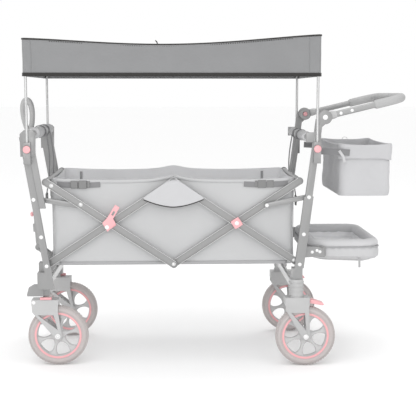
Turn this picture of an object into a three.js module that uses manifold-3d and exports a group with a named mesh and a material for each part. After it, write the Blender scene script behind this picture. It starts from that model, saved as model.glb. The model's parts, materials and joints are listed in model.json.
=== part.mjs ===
// Folding baby wagon with a pull handle, a push handle, a canopy, a rear basket and a foot well.
// Millimetres, +Z up. +X runs from the pull handle to the push handle, and -Y is the wagon's left side.
// The lengths below count from the middle of the folding frame; the last lines move the origin.
import * as THREE from 'three';
import { mergeVertices } from 'three/addons/utils/BufferGeometryUtils.js';
import Module from 'manifold-3d';

const wasm = await Module();
wasm.setup();

// ---- driving dimensions ----
const pivotX = 467;            // lower scissor pivots, before and behind the middle
const pivotZ = 387;            // their height
const barRise = 154;           // rise of half a scissor bar when the wagon stands open
const barWidth = 28;
const innerLayer = [234, 243]; // the bars lie in two layers: distances from the middle plane
const outerLayer = [245, 254];
const postLayer = [256, 272];
const gap = 0.3;               // between pieces that touch

const wheelRadius = 113;
const tyreWidth = 38;
const rimRadius = 88;
const frontHub = { x: -436, y: 210 };
const rearHub = { x: 493, y: 252 };
const casterX = -484;          // swivel axis
const axleRadius = 6;

const frontLean = 0.163;       // posts lean outwards by this much per millimetre of height
const rearLean = 0.124;

const tub = { halfLength: 454, halfWidth: 230, bottom: 381, top: 709, peak: 718, wall: 4, floor: 10 };
const canopy = { front: -536, rear: 534, halfWidth: 290, hem: 1077, frontTop: 1211, rearTop: 1226, sag: 1190 };
const poleRadius = 5;
const poleY = 281;
const frontPoleX = -526;
const rearPoleX = 524;
const socket = { half: 13, low: 764, high: 842, outside: 293, buttonZ: 817, buttonRadius: 13.5 };

const pullPivot = { x: -532, z: 415 };
const pullLean = THREE.MathUtils.degToRad(3.3);

const pushPivot = { x: 554, z: 931 };
const pushAngle = THREE.MathUtils.degToRad(13.5);
const pushReach = 305;
const pushArmY = 243.5;
const pushTube = 11.5;
const pushGrip = 16.5;

const basket = { front: 612, rear: 824, halfWidth: 220, bottom: 634, top: 838, wall: 5 };
const footWell = { front: 503, rear: 785, halfWidth: 220, bottom: 378, top: 472, rim: 42, floor: 418 };
const footHinge = { x: 515, z: 431 };

const frontBar = { x: -512, z: 872 };  // padded crossbars between the post tops
const rearBar = { x: 498, z: 858 };
const crossbarRadius = 11;
const padRadius = 22;
const padHalf = 205;

// ---- colours ----
const frameGrey = new THREE.MeshStandardMaterial({ color: 0xa6a4a4, roughness: 0.45, metalness: 0.3 });
const plasticGrey = new THREE.MeshStandardMaterial({ color: 0xb4b0b1, roughness: 0.6, metalness: 0 });
const silver = new THREE.MeshStandardMaterial({ color: 0xd8d8da, roughness: 0.3, metalness: 0.9 });
const coral = new THREE.MeshStandardMaterial({ color: 0xf7a8ae, roughness: 0.5, metalness: 0 });
const rubber = new THREE.MeshStandardMaterial({ color: 0xb2acac, roughness: 0.85, metalness: 0 });
const tubFabric = new THREE.MeshStandardMaterial({ color: 0xcecece, roughness: 0.95, metalness: 0 });
const canopyFabric = new THREE.MeshStandardMaterial({ color: 0x909090, roughness: 0.9, metalness: 0 });
const foam = new THREE.MeshStandardMaterial({ color: 0xa8a6a7, roughness: 0.9, metalness: 0 });

const wagon = new THREE.Group();

function add(name, geometry, material) {
  const mesh = new THREE.Mesh(geometry, material.clone());
  mesh.name = name;
  wagon.add(mesh);
}

// ---- solids ----
function solid(geometry) {
  const bare = geometry.index ? geometry.toNonIndexed() : geometry.clone();
  bare.deleteAttribute('normal');
  bare.deleteAttribute('uv');
  const merged = mergeVertices(bare, 1e-4);
  const vertProperties = new Float32Array(merged.attributes.position.array);
  const triVerts = new Uint32Array(merged.index.array);
  return new wasm.Manifold(new wasm.Mesh({ numProp: 3, vertProperties, triVerts }));
}

function geometryOf(shape) {
  const mesh = shape.getMesh();
  const geometry = new THREE.BufferGeometry();
  const places = new Float32Array(mesh.numVert * 3);
  for (let i = 0; i < mesh.numVert; i += 1) {
    for (let k = 0; k < 3; k += 1) {
      places[i * 3 + k] = mesh.vertProperties[i * mesh.numProp + k];
    }
  }
  geometry.setAttribute('position', new THREE.BufferAttribute(places, 3));
  geometry.setIndex(new THREE.BufferAttribute(new Uint32Array(mesh.triVerts), 1));
  return geometry;
}

function join(...shapes) {
  return shapes.map(solid).reduce((whole, next) => whole.add(next));
}

function cut(whole, ...tools) {
  return tools.reduce((rest, tool) => rest.subtract(solid(tool)), whole);
}

function box(x0, x1, y0, y1, z0, z1) {
  const shape = new THREE.BoxGeometry(x1 - x0, Math.abs(y1 - y0), z1 - z0);
  return shape.translate((x0 + x1) / 2, (y0 + y1) / 2, (z0 + z1) / 2);
}

// Outlines run anticlockwise, and the holes in them clockwise.
function pointsOf(outline, anticlockwise) {
  const points = outline.map(([x, z]) => new THREE.Vector2(x, z));
  return THREE.ShapeUtils.isClockWise(points) === anticlockwise ? points.reverse() : points;
}

// An outline of [x, z] points given a thickness from y0 to y1.
function plate(outline, y0, y1, holes = []) {
  const shape = outline instanceof THREE.Shape ? outline : new THREE.Shape(pointsOf(outline, true));
  for (const hole of holes) {
    shape.holes.push(new THREE.Path(pointsOf(hole, false)));
  }
  const low = Math.min(y0, y1);
  const high = Math.max(y0, y1);
  const geometry = new THREE.ExtrudeGeometry(shape, { depth: high - low, bevelEnabled: false, curveSegments: 4 });
  return geometry.rotateX(Math.PI / 2).translate(0, high, 0);
}

// A flat bar with round ends between two [x, z] points.
function bar(from, to, width, y0, y1) {
  const angle = Math.atan2(to[1] - from[1], to[0] - from[0]);
  const outline = new THREE.Shape();
  outline.absarc(to[0], to[1], width / 2, angle - Math.PI / 2, angle + Math.PI / 2);
  outline.absarc(from[0], from[1], width / 2, angle + Math.PI / 2, angle + 1.5 * Math.PI);
  return plate(outline, y0, y1);
}

// A round pin or disc across the wagon.
function pin(x, z, radius, y0, y1, count = 10) {
  const shape = new THREE.CylinderGeometry(radius, radius, Math.abs(y1 - y0), count);
  return shape.translate(x, (y0 + y1) / 2, z);
}

function upright(x, y, radius, z0, z1, count = 10) {
  const shape = new THREE.CylinderGeometry(radius, radius, z1 - z0, count).rotateX(Math.PI / 2);
  return shape.translate(x, y, (z0 + z1) / 2);
}

function layer(side, [low, high]) {
  return [side * low, side * high];
}

const sides = [['left', -1], ['right', 1]];

// ---- front and rear posts ----
function frontPostX(z) {
  return -pivotX - frontLean * (z - pivotZ);
}

function rearPostX(z) {
  return pivotX + rearLean * (z - pivotZ);
}

function postStrip(xAt, offset, width, z0, z1, y0, y1) {
  const left = offset - width / 2;
  const right = offset + width / 2;
  return plate([
    [xAt(z0) + left, z0], [xAt(z0) + right, z0], [xAt(z1) + right, z1], [xAt(z1) + left, z1],
  ], y0, y1);
}

const linkFront = { post: [frontPostX(633), 633], bar: [-345, 606] };
const linkRear = { post: [rearPostX(638), 638], bar: [345, 606] };

// The clamp on a post that the canopy pole drops into, with a round recess for its push button.
function poleSocket(x, side) {
  return box(x - socket.half, x + socket.half, side * 268, side * socket.outside, socket.low, socket.high);
}

function socketCuts(x, side) {
  return [
    upright(x, side * poleY, poleRadius + 0.5, socket.low + 8, socket.high + 60),
    pin(x, socket.buttonZ, socket.buttonRadius + 0.4, side * 288, side * (socket.outside + 10), 20),
  ];
}

for (const [hand, side] of sides) {
  const [inside, outside] = layer(side, postLayer);
  const footOut = side * 228;
  const footIn = side * 192;
  const post = join(
    postStrip(frontPostX, 0, 24, 300, 860, inside, outside),
    postStrip(frontPostX, 23, 24, 600, 860, inside, side * 268),
    plate([[-552, 790], [-500, 790], [-498, 876], [-506, 886], [-538, 886], [-553, 872]], inside, side * 275),
    box(-502, -455, footOut, outside, 300, 362),
    box(casterX - 18, casterX + 18, footIn, footOut, 266, 392),
    plate([[-548, 272], [-540, 300], [-520, 312], [-486, 312], [-486, 266], [-546, 266]], footOut - side, side * 234),
    poleSocket(frontPoleX, side),
    pin(-pivotX, pivotZ, 5, side * 233, side * 260),
    pin(-pivotX, pivotZ, 8, side * 231.5, side * 233.5),
    pin(...linkFront.post, 5, side * 233, side * 260),
  );
  const bored = cut(
    post,
    upright(casterX, side * frontHub.y, 8.4, 260, 320, 20),
    ...socketCuts(frontPoleX, side),
  );
  add(`front_post_${hand}`, geometryOf(bored), frameGrey);
}

for (const [hand, side] of sides) {
  const [inside, outside] = layer(side, postLayer);
  const post = join(
    postStrip(rearPostX, 0, 34, 372, 640, inside, outside),
    postStrip(rearPostX, 0, 26, 620, 925, inside, outside),
    pin(pushPivot.x, pushPivot.z, 26, inside, outside, 24),
    plate([[525, 880], [554, 905], [554, 945], [525, 940]], inside, outside),
    box(486, 540, inside, outside, 840, 876),
    box(440, 478, side * 232, outside, 330, 372.5),
    plate([[479, 410], [560, 415], [560, 440], [540, 450], [479, 450]], side * 242, inside + side * 2),
    poleSocket(rearPoleX, side),
    pin(pivotX, pivotZ, 5, side * 244, side * 260),
    pin(pivotX, pivotZ, 8, side * 244, side * 244.7),
    pin(...linkRear.post, 5, side * 244, side * 260),
    pin(pushPivot.x, pushPivot.z, 6, side * 251, side * 260),
    pin(footHinge.x, footHinge.z, 5, side * 228, side * 250),
  );
  const bored = cut(
    post,
    ...socketCuts(rearPoleX, side),
  );
  add(`rear_post_${hand}`, geometryOf(bored), frameGrey);
}

// ---- crossbars, pads and beams ----
function crossTube(x, z, radius, half) {
  return pin(x, z, radius, -half, half, 12);
}

function sleeve(x, z, inner, outer, half) {
  const profile = [[inner, -half], [outer - 4, -half], [outer, 4 - half], [outer, half - 4], [outer - 4, half],
    [inner, half], [inner, -half]];
  const points = profile.map(([r, y]) => new THREE.Vector2(r, y));
  return new THREE.LatheGeometry(points, 18).translate(x, 0, z);
}

const crossbarHalf = postLayer[0] - gap;
add('front_upper_crossbar', crossTube(frontBar.x, frontBar.z, crossbarRadius, crossbarHalf), frameGrey);
add('rear_upper_crossbar', crossTube(rearBar.x, rearBar.z, crossbarRadius, crossbarHalf), frameGrey);
add('front_crossbar_pad', sleeve(frontBar.x, frontBar.z, crossbarRadius + 0.6, padRadius, padHalf), tubFabric);
add('rear_crossbar_pad', sleeve(rearBar.x, rearBar.z, crossbarRadius + 0.6, padRadius - 2.6, padHalf), tubFabric);
add('front_lower_beam', box(-472, -458, -192 + gap, 192 - gap, 304, 332), silver);
add('rear_lower_beam', box(436, 450, -222, 222, 296, 324), silver);

// ---- scissor bars: each side is two crossed pairs, folded by one motion ----
const crossFront = [-pivotX / 2, pivotZ + barRise];
const crossRear = [pivotX / 2, pivotZ + barRise];
const lowMiddle = [0, pivotZ];
const highMiddle = [0, pivotZ + 2 * barRise];
const highFront = [-pivotX, pivotZ + 2 * barRise];
const highRear = [pivotX, pivotZ + 2 * barRise];
const lowFront = [-pivotX, pivotZ];
const lowRear = [pivotX, pivotZ];
const pinHole = 5.4;

function scissorBar(side, from, to, levels, holes, pins) {
  const [y0, y1] = layer(side, levels);
  let whole = solid(bar(from, to, barWidth, y0, y1));
  for (const [x, z] of holes) {
    whole = whole.subtract(solid(pin(x, z, pinHole, y0 - side, y1 + side)));
  }
  for (const [x, z, end] of pins) {
    whole = whole.add(solid(pin(x, z, 5, y1 - side * 2, side * end)));
    whole = whole.add(solid(pin(x, z, 8, side * (end - 2.5), side * end)));
  }
  return geometryOf(whole);
}

const headOut = 257;           // outer face of a rivet head over the outer layer
const latchPivot = [-245, 529];
for (const [hand, side] of sides) {
  add(`front_lower_bar_${hand}`,
    scissorBar(side, lowFront, highMiddle, innerLayer, [lowFront], [[...crossFront, headOut]]), frameGrey);
  const latchPins = hand === 'left' ? [[...latchPivot, 265]] : [];
  add(`front_upper_bar_${hand}`,
    scissorBar(side, highFront, lowMiddle, outerLayer, [crossFront, lowMiddle], latchPins), frameGrey);
  add(`rear_upper_bar_${hand}`,
    scissorBar(side, lowMiddle, highRear, innerLayer, [], [[...lowMiddle, headOut], [...crossRear, headOut]]),
    frameGrey);
  add(`rear_lower_bar_${hand}`,
    scissorBar(side, highMiddle, lowRear, outerLayer, [crossRear, lowRear], []), frameGrey);
}
add('front_top_rod', crossTube(...highFront, crossbarRadius, outerLayer[0] - gap), frameGrey);
add('rear_top_rod', crossTube(...highRear, crossbarRadius, innerLayer[0] - gap), frameGrey);

// The short links that keep the posts at one lean. Each turns on its post.
function stayLink(side, { post, bar: end }, levels) {
  const [y0, y1] = layer(side, levels);
  const hole = pin(...post, pinHole, y0 - side, y1 + side);
  return geometryOf(solid(bar(post, end, 18, y0, y1)).subtract(solid(hole)));
}

for (const [hand, side] of sides) {
  add(`front_link_${hand}`, stayLink(side, linkFront, innerLayer), frameGrey);
  add(`rear_link_${hand}`, stayLink(side, linkRear, outerLayer), frameGrey);
}

// The transport latch at the left front crossing, with its slotted tab.
const latchOutline = [[-262, 545], [-243, 565], [-214, 612], [-198, 602], [-222, 560], [-212, 542], [-243, 512]];
const latchSlot = [[-229, 575], [-220, 590], [-213, 586], [-222, 571]];
add('fold_latch', geometryOf(cut(
  solid(plate(latchOutline, -258, -262, [latchSlot])),
  pin(...latchPivot, pinHole, -250, -270),
)), coral);

// ---- tub: one sewn liner hung between the bars ----
const tubOutline = [
  [-tub.halfLength, tub.bottom], [tub.halfLength, tub.bottom], [tub.halfLength, tub.top],
  [0, tub.peak], [-tub.halfLength, tub.top],
];
const tubInside = [
  [tub.wall - tub.halfLength, tub.bottom + tub.floor], [tub.halfLength - tub.wall, tub.bottom + tub.floor],
  [tub.halfLength - tub.wall, tub.peak + 10], [tub.wall - tub.halfLength, tub.peak + 10],
];
add('tub_liner', geometryOf(cut(
  solid(plate(tubOutline, -tub.halfWidth, tub.halfWidth)),
  plate(tubInside, tub.wall - tub.halfWidth, tub.halfWidth - tub.wall),
)), tubFabric);

// ---- wheels: a spoked rim with a tyre, on an axle held by the fork ----
function tyre({ x, y }) {
  const w = tyreWidth / 2;
  const outline = [[rimRadius, -w + 5], [98, -w], [107, -w + 4], [112, -w + 11], [wheelRadius, 0],
    [112, w - 11], [107, w - 4], [98, w], [rimRadius, w - 5], [rimRadius, -w + 5]];
  const points = outline.map(([r, across]) => new THREE.Vector2(r, across));
  return new THREE.LatheGeometry(points, 28).translate(x, y, wheelRadius);
}

function rim({ x, y }) {
  const outer = rimRadius - gap;
  const ring = [[76, -13], [outer, -14], [outer, 14], [76, 13], [76, -13]];
  let whole = solid(new THREE.LatheGeometry(ring.map(([r, a]) => new THREE.Vector2(r, a)), 28));
  whole = whole.add(solid(pin(0, 0, 20, -16, 16, 18)));
  const spoke = [[-7, 12], [7, 12], [17, 79], [-17, 79]];
  for (let i = 0; i < 6; i += 1) {
    const one = plate(spoke, -8, 8).rotateY((i * Math.PI) / 3);
    whole = whole.add(solid(one));
  }
  return geometryOf(whole.subtract(solid(pin(0, 0, axleRadius + 0.4, -20, 20)))).translate(x, y, wheelRadius);
}

for (const [hand, side] of sides) {
  for (const [end, hub] of [['front', frontHub], ['rear', rearHub]]) {
    const place = { x: hub.x, y: side * hub.y };
    add(`${end}_tyre_${hand}`, tyre(place), rubber);
    add(`${end}_rim_${hand}`, rim(place), plasticGrey);
  }
}

// ---- forks: two cheeks with a window, joined by a bridge over the wheel, and the axle ----
const cheekIn = 21.5;          // from the wheel's middle plane
const cheekOut = 27;

function cheek(hubX, front, rear, top, y0, y1) {
  const outline = [[front, top], [rear, top], [rear - 2, top - 46], [hubX + 16, wheelRadius],
    [hubX + 8, wheelRadius - 14], [hubX - 8, wheelRadius - 14], [hubX - 16, wheelRadius], [front + 2, top - 46]];
  const window = [[front + 24, top - 58], [hubX, wheelRadius + 24], [rear - 18, top - 58]];
  return plate(outline, y0, y1, [window]);
}

function fork(hub, side, front, rear, bridgeLow, top) {
  const y = side * hub.y;
  return join(
    cheek(hub.x, front, rear, top, y - cheekOut, y - cheekIn),
    cheek(hub.x, front, rear, top, y + cheekIn, y + cheekOut),
    box(front, rear, y - cheekOut, y + cheekOut, bridgeLow, top),
    pin(hub.x, wheelRadius, axleRadius, y - cheekOut - 4, y + cheekOut + 4),
  );
}

for (const [hand, side] of sides) {
  const y = side * frontHub.y;
  const stem = upright(casterX, y, 8, 250, 312, 20);
  const whole = fork(frontHub, side, -532, -432, 232, 252).add(solid(stem));
  add(`caster_fork_${hand}`, geometryOf(whole), plasticGrey);
  add(`swivel_lock_${hand}`, box(-500, -456, side * 222, side * 236, 252.5, 262), coral);
}

for (const [hand, side] of sides) {
  const y = side * rearHub.y;
  const spring = upright(458, y, 26, 250, 330 - gap, 20);
  const whole = fork(rearHub, side, 414, 506, 232, 262).add(solid(spring));
  add(`rear_fork_${hand}`, geometryOf(whole), plasticGrey);
  const pedal = plate([[508, 250], [520, 252], [556, 240], [562, 232], [556, 230], [508, 238]], y - 16, y + 16);
  add(`brake_pedal_${hand}`, pedal, coral);
}

// ---- pull handle: stands on a yoke, leans forward, telescopes, and ends in a loop grip ----
// Pieces are made upright along the stem and then leaned about the pivot.
function leaned(geometry) {
  return geometry.rotateY(-pullLean).translate(pullPivot.x, 0, pullPivot.z);
}

function tube(outer, inner, z0, z1) {
  const profile = [[inner, z0], [outer, z0], [outer, z1], [inner, z1], [inner, z0]];
  const points = profile.map(([r, z]) => new THREE.Vector2(r, z));
  return new THREE.LatheGeometry(points, 16).rotateX(Math.PI / 2);
}

const bracketTube = { x: -486, z: 372 };
const ear = [[-486, 360], [-532, 403], [-544, 415], [-532, 427], [-478, 384]];
add('pull_handle_bracket', geometryOf(join(
  crossTube(bracketTube.x, bracketTube.z, 12, 192 - gap),
  plate(ear, -24, -18),
  plate(ear, 18, 24),
  pin(pullPivot.x, pullPivot.z, axleRadius, -27, 27),
)), frameGrey);

const lowerTube = join(
  tube(12, 9.6, 16, 290),
  pin(0, 0, 14, -15, 15, 16),
  box(-9, 9, -12, 12, 4, 22),
  tube(18, 11, 62, 92),
);
add('pull_lower_tube', leaned(geometryOf(cut(lowerTube, pin(0, 0, axleRadius + 0.4, -20, 20),
  new THREE.BoxGeometry(14, 13, 13).translate(-14, 0, 131)))), frameGrey);
add('pull_upper_tube', leaned(upright(0, 0, 9, 60, 455)), silver);
add('pull_lock_button', leaned(lockButton()), coral);

function lockButton() {
  const cap = new THREE.SphereGeometry(10, 12, 8).scale(0.8, 1, 1).translate(-17, 0, 131);
  const flat = box(-30, -14.6, -11, 11, 118, 144);
  const stud = box(-20, -11.8, -6, 6, 125, 137);
  return geometryOf(solid(cap).intersect(solid(flat)).add(solid(stud)));
}

const loop = new THREE.Shape();
loop.moveTo(0, 440);
loop.bezierCurveTo(16, 452, 31, 500, 31, 545);
loop.bezierCurveTo(31, 600, -31, 600, -31, 545);
loop.bezierCurveTo(-31, 500, -16, 452, 0, 440);
const finger = new THREE.Path();
finger.moveTo(0, 482);
finger.bezierCurveTo(9, 500, 12, 525, 11, 545);
finger.bezierCurveTo(10, 570, -10, 570, -11, 545);
finger.bezierCurveTo(-12, 525, -9, 500, 0, 482);
loop.holes.push(finger);
const gripSolid = solid(plate(loop, -13, 13)).add(solid(upright(0, 0, 13, 428, 474)));
add('pull_grip', leaned(geometryOf(cut(gripSolid, upright(0, 0, 9.4, 420, 455 + gap)))), foam);

// ---- push handle: a bent tube with a foam grip, on two locking discs ----
class HandlePath extends THREE.Curve {
  constructor(startReach) {
    super();
    this.startReach = startReach;
    this.bend = 62;
  }

  getPoint(t, target = new THREE.Vector3()) {
    const straight = pushReach - this.bend - this.startReach;
    const arc = (Math.PI / 2) * this.bend;
    const end = 2 * (pushArmY - this.bend);
    const total = 2 * straight + 2 * arc + end;
    let s = t * total;
    const mirrored = s > total / 2;
    if (mirrored) {
      s = total - s;
    }
    let along = this.startReach + s;
    let across = -pushArmY;
    if (s > straight + arc) {
      along = pushReach;
      across = -(pushArmY - this.bend) + (s - straight - arc);
    } else if (s > straight) {
      const turn = (s - straight) / this.bend;
      along = pushReach - this.bend + this.bend * Math.sin(turn);
      across = -pushArmY + this.bend * (1 - Math.cos(turn));
    }
    return target.set(along, mirrored ? -across : across, 0);
  }
}

function raised(geometry) {
  return geometry.rotateY(-pushAngle).translate(pushPivot.x, 0, pushPivot.z);
}

function alongHandle(startReach, radius, steps, hole) {
  const shape = new THREE.Shape();
  shape.absarc(0, 0, radius, 0, 2 * Math.PI);
  if (hole) {
    const opening = new THREE.Path();
    opening.absarc(0, 0, hole, 0, 2 * Math.PI, true);
    shape.holes.push(opening);
  }
  return new THREE.ExtrudeGeometry(shape, {
    steps, curveSegments: 5, bevelEnabled: false, extrudePath: new HandlePath(startReach),
  });
}

let handle = solid(alongHandle(0, pushTube, 40));
for (const [, side] of sides) {
  handle = handle.add(solid(pin(0, 0, 25, side * 236, side * 255.5, 24)));
  handle = cut(
    handle,
    pin(0, 0, axleRadius + 0.4, side * 249, side * 260),
    pin(0, 0, 9.5, side * 225, side * 249, 16),
  );
}
add('push_handle', raised(geometryOf(handle)), frameGrey);
add('push_handle_grip', raised(alongHandle(190, pushGrip, 28, pushTube + 2)), foam);
for (const [hand, side] of sides) {
  add(`push_lock_button_${hand}`, raised(pin(0, 0, 9, side * 233, side * 245.5, 16)), coral);
  for (const [end, x] of [['front', frontPoleX], ['rear', rearPoleX]]) {
    const face = [side * (socket.outside - 1.5), side * (socket.outside + 5)];
    add(`${end}_pole_button_${hand}`, pin(x, socket.buttonZ, socket.buttonRadius, ...face, 20), coral);
  }
}

// ---- canopy: one cloth roof with hanging sides over two wire hoops ----
function roofOutline(inset) {
  return [
    [canopy.front + inset, canopy.hem - (inset ? 10 : 0)], [canopy.rear - inset, canopy.hem - (inset ? 10 : 0)],
    [canopy.rear - inset, canopy.rearTop - inset], [canopy.rear / 2, (canopy.rearTop + canopy.sag) / 2 - 9 - inset],
    [0, canopy.sag - inset], [canopy.front / 2, (canopy.frontTop + canopy.sag) / 2 - 5 - inset],
    [canopy.front + inset, canopy.frontTop - inset],
  ];
}

const cloth = 3;
add('canopy_roof', geometryOf(cut(
  solid(plate(roofOutline(0), -canopy.halfWidth, canopy.halfWidth)),
  plate(roofOutline(cloth), cloth - canopy.halfWidth, canopy.halfWidth - cloth),
)), canopyFabric);

function hoop(x, top) {
  const rod = pin(x, top - poleRadius, poleRadius, -poleY - poleRadius, poleY + poleRadius, 12);
  const poles = sides.map(([, side]) => upright(x, side * poleY, poleRadius, socket.low + 10, top - poleRadius, 12));
  return geometryOf(join(rod, ...poles));
}

add('front_canopy_hoop', hoop(frontPoleX, canopy.frontTop - 6), silver);
add('rear_canopy_hoop', hoop(rearPoleX, canopy.rearTop - 6), silver);

// ---- rear basket and foot well ----
const { wall } = basket;
const shell = box(basket.front, basket.rear, -basket.halfWidth, basket.halfWidth, basket.bottom, basket.top);
const hollow = box(basket.front + wall, basket.rear - wall, wall - basket.halfWidth, basket.halfWidth - wall,
  basket.bottom + wall, basket.top + 5);
const hangers = sides.map(([, side]) => box(546, basket.front + 2, side * 214, side * 219, 786, 812));
add('basket_bag', geometryOf(cut(join(shell, ...hangers), hollow)), tubFabric);

const well = join(
  box(footWell.front, footWell.rear, -footWell.halfWidth, footWell.halfWidth, footWell.bottom, footWell.top),
  ...sides.map(([, side]) => box(503, 560, side * 219, side * 226, 421, 441)),
  ...sides.map(([, side]) => pin(footHinge.x, footHinge.z, 12, side * 219, side * 240)),
);
const recess = box(footWell.front + 12, footWell.rear - footWell.rim, footWell.rim - footWell.halfWidth,
  footWell.halfWidth - footWell.rim, footWell.floor, footWell.top + 5);
const pivots = sides.map(([, side]) => pin(footHinge.x, footHinge.z, 5.4, side * 222, side * 245));
add('foot_well', geometryOf(cut(well, recess, ...pivots)), tubFabric);

// ---- the origin: on the floor, below the middle of the whole wagon ----
const middleX = 136.1;
wagon.position.x = -middleX;

export default wagon;
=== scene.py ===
import json
import math

import bmesh
import bpy
import numpy as np
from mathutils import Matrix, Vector, noise


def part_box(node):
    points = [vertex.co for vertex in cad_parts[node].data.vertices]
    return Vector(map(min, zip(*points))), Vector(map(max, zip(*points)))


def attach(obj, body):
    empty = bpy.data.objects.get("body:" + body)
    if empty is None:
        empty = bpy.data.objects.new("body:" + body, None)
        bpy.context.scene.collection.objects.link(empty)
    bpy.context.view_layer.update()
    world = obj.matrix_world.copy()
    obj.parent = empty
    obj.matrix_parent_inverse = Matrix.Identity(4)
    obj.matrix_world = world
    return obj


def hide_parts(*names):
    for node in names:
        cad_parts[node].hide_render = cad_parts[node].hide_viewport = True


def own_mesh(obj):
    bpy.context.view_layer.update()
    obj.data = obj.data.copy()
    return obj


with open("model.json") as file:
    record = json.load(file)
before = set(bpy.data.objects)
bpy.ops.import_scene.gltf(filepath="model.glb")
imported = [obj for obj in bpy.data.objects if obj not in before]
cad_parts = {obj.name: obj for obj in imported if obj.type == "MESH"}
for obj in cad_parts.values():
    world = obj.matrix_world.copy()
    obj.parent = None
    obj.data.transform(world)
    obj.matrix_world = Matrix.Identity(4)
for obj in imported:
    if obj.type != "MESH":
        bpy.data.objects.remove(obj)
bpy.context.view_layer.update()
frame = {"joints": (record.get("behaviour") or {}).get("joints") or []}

# ---- Camera, floor and studio light ----
# A long lens at a person's eye height on the wagon's left side, as for a catalogue picture.
# The floor is plain and pale, and one broad lamp and a white room give a soft shadow under the wheels.
joint_place = {j["name"]: j.get("pos_m") for j in frame["joints"]}
middle_x = (joint_place["fold"][0] + joint_place["rear_pivot"][0]) / 2
camera_data = bpy.data.cameras.new("camera")
camera_data.lens = 79.2
camera = bpy.data.objects.new("camera", camera_data)
camera.location = (middle_x - 0.004, -3.6, 1.022)
camera.rotation_euler = (math.radians(90 - 7.22), 0, math.radians(-2.24))
bpy.context.scene.collection.objects.link(camera)
bpy.context.scene.camera = camera

floor_mesh = bpy.data.meshes.new("studio_floor")
floor_mesh.from_pydata([(-40, -40, 0), (40, -40, 0), (40, 60, 0), (-40, 60, 0)], [], [(0, 1, 2, 3)])
studio_floor = bpy.data.objects.new("studio_floor", floor_mesh)
bpy.context.scene.collection.objects.link(studio_floor)
floor_paint = bpy.data.materials.new("studio_floor")
floor_paint.use_nodes = True
floor_paint.node_tree.nodes["Principled BSDF"].inputs["Base Color"].default_value = (0.975, 0.975, 0.975, 1)
floor_paint.node_tree.nodes["Principled BSDF"].inputs["Roughness"].default_value = 0.9
floor_mesh.materials.append(floor_paint)

room = bpy.data.worlds.new("studio")
room.use_nodes = True
room.node_tree.nodes["Background"].inputs["Color"].default_value = (1, 1, 1, 1)
room.node_tree.nodes["Background"].inputs["Strength"].default_value = 1.0
bpy.context.scene.world = room
bpy.context.scene.view_settings.view_transform = "Standard"
for lamp_name, place, size, watts, turn in (
    ("key_lamp", (-1.2, -2.6, 3.6), 2.6, 22, (36, 0, -24)),
    ("top_lamp", (0.2, 0.2, 4.2), 2.4, 34, (0, 0, 0)),
    ("fill_lamp", (-0.3, -3.9, 1.5), 2.2, 30, (80, 0, -4)),
):
    lamp_data = bpy.data.lights.new(lamp_name, "AREA")
    lamp_data.size = size
    lamp_data.energy = watts
    lamp = bpy.data.objects.new(lamp_name, lamp_data)
    lamp.location = place
    lamp.rotation_euler = [math.radians(a) for a in turn]
    bpy.context.scene.collection.objects.link(lamp)


# ---- Tyres ----
# Solid grey rubber rings, moulded in one piece with a ribbed tread and a raised shoulder line.
# They are stretched over the rims and turn with them.
def grey(value):
    """An even grey, given as the brightness it shows."""
    return (value ** 2.2,) * 3 + (1.0,)


def shown(red, green, blue):
    """A colour, given as the brightness it shows."""
    return (red ** 2.2, green ** 2.2, blue ** 2.2, 1.0)


def group_tree(name, given, results):
    """A node group with its sockets, the node that gives its inputs and the node that takes its results."""
    tree = bpy.data.node_groups.new(name, "ShaderNodeTree")
    for label, value in given:
        kind = "NodeSocketFloat" if isinstance(value, float) else "NodeSocketColor"
        tree.interface.new_socket(name=label, in_out="INPUT", socket_type=kind).default_value = value
    for label in results:
        kind = "NodeSocketColor" if label == "Color" else "NodeSocketFloat"
        tree.interface.new_socket(name=label, in_out="OUTPUT", socket_type=kind)
    return tree, tree.nodes.new("NodeGroupInput"), tree.nodes.new("NodeGroupOutput")


def figured(tree, operation, *values):
    """The output of a math node whose values are numbers or other outputs."""
    made = tree.nodes.new("ShaderNodeMath")
    made.operation = operation
    for socket, value in zip(made.inputs, values):
        if isinstance(value, float):
            socket.default_value = value
        else:
            tree.links.new(value, socket)
    return made.outputs[0]


def tinted(tree, colour, gain, out):
    """Sends a colour, made lighter or darker by the gain, to the group's result."""
    tint = tree.nodes.new("ShaderNodeVectorMath")
    tint.operation = "SCALE"
    tree.links.new(colour, tint.inputs[0])
    tree.links.new(gain, tint.inputs["Scale"])
    tree.links.new(tint.outputs[0], out.inputs["Color"])


def mottle_group():
    """Fine grain and slow colour drift for moulded, painted and rubbed surfaces."""
    tree, given, out = group_tree(
        "surface_mottle",
        (("Base", (0.5, 0.5, 0.5, 1)), ("Drift", 0.06), ("Grain Scale", 900.0), ("Roughness", 0.5)),
        ("Color", "Roughness", "Height"))
    nodes, links = tree.nodes, tree.links
    place = nodes.new("ShaderNodeTexCoord")
    slow, fine = nodes.new("ShaderNodeTexNoise"), nodes.new("ShaderNodeTexNoise")
    slow.inputs["Scale"].default_value = 9.0
    slow.inputs["Detail"].default_value = 4.0
    fine.inputs["Detail"].default_value = 2.0
    links.new(place.outputs["Object"], slow.inputs["Vector"])
    links.new(place.outputs["Object"], fine.inputs["Vector"])
    links.new(given.outputs["Grain Scale"], fine.inputs["Scale"])
    swing = figured(tree, "SUBTRACT", slow.outputs["Fac"], 0.5)
    amount = figured(tree, "MULTIPLY", swing, given.outputs["Drift"])
    tinted(tree, given.outputs["Base"], figured(tree, "MULTIPLY_ADD", amount, 2.0, 1.0), out)
    rough = figured(tree, "MULTIPLY_ADD", amount, 1.4, given.outputs["Roughness"])
    links.new(rough, out.inputs["Roughness"])
    links.new(fine.outputs["Fac"], out.inputs["Height"])
    return tree


surface_mottle = mottle_group()


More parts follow.
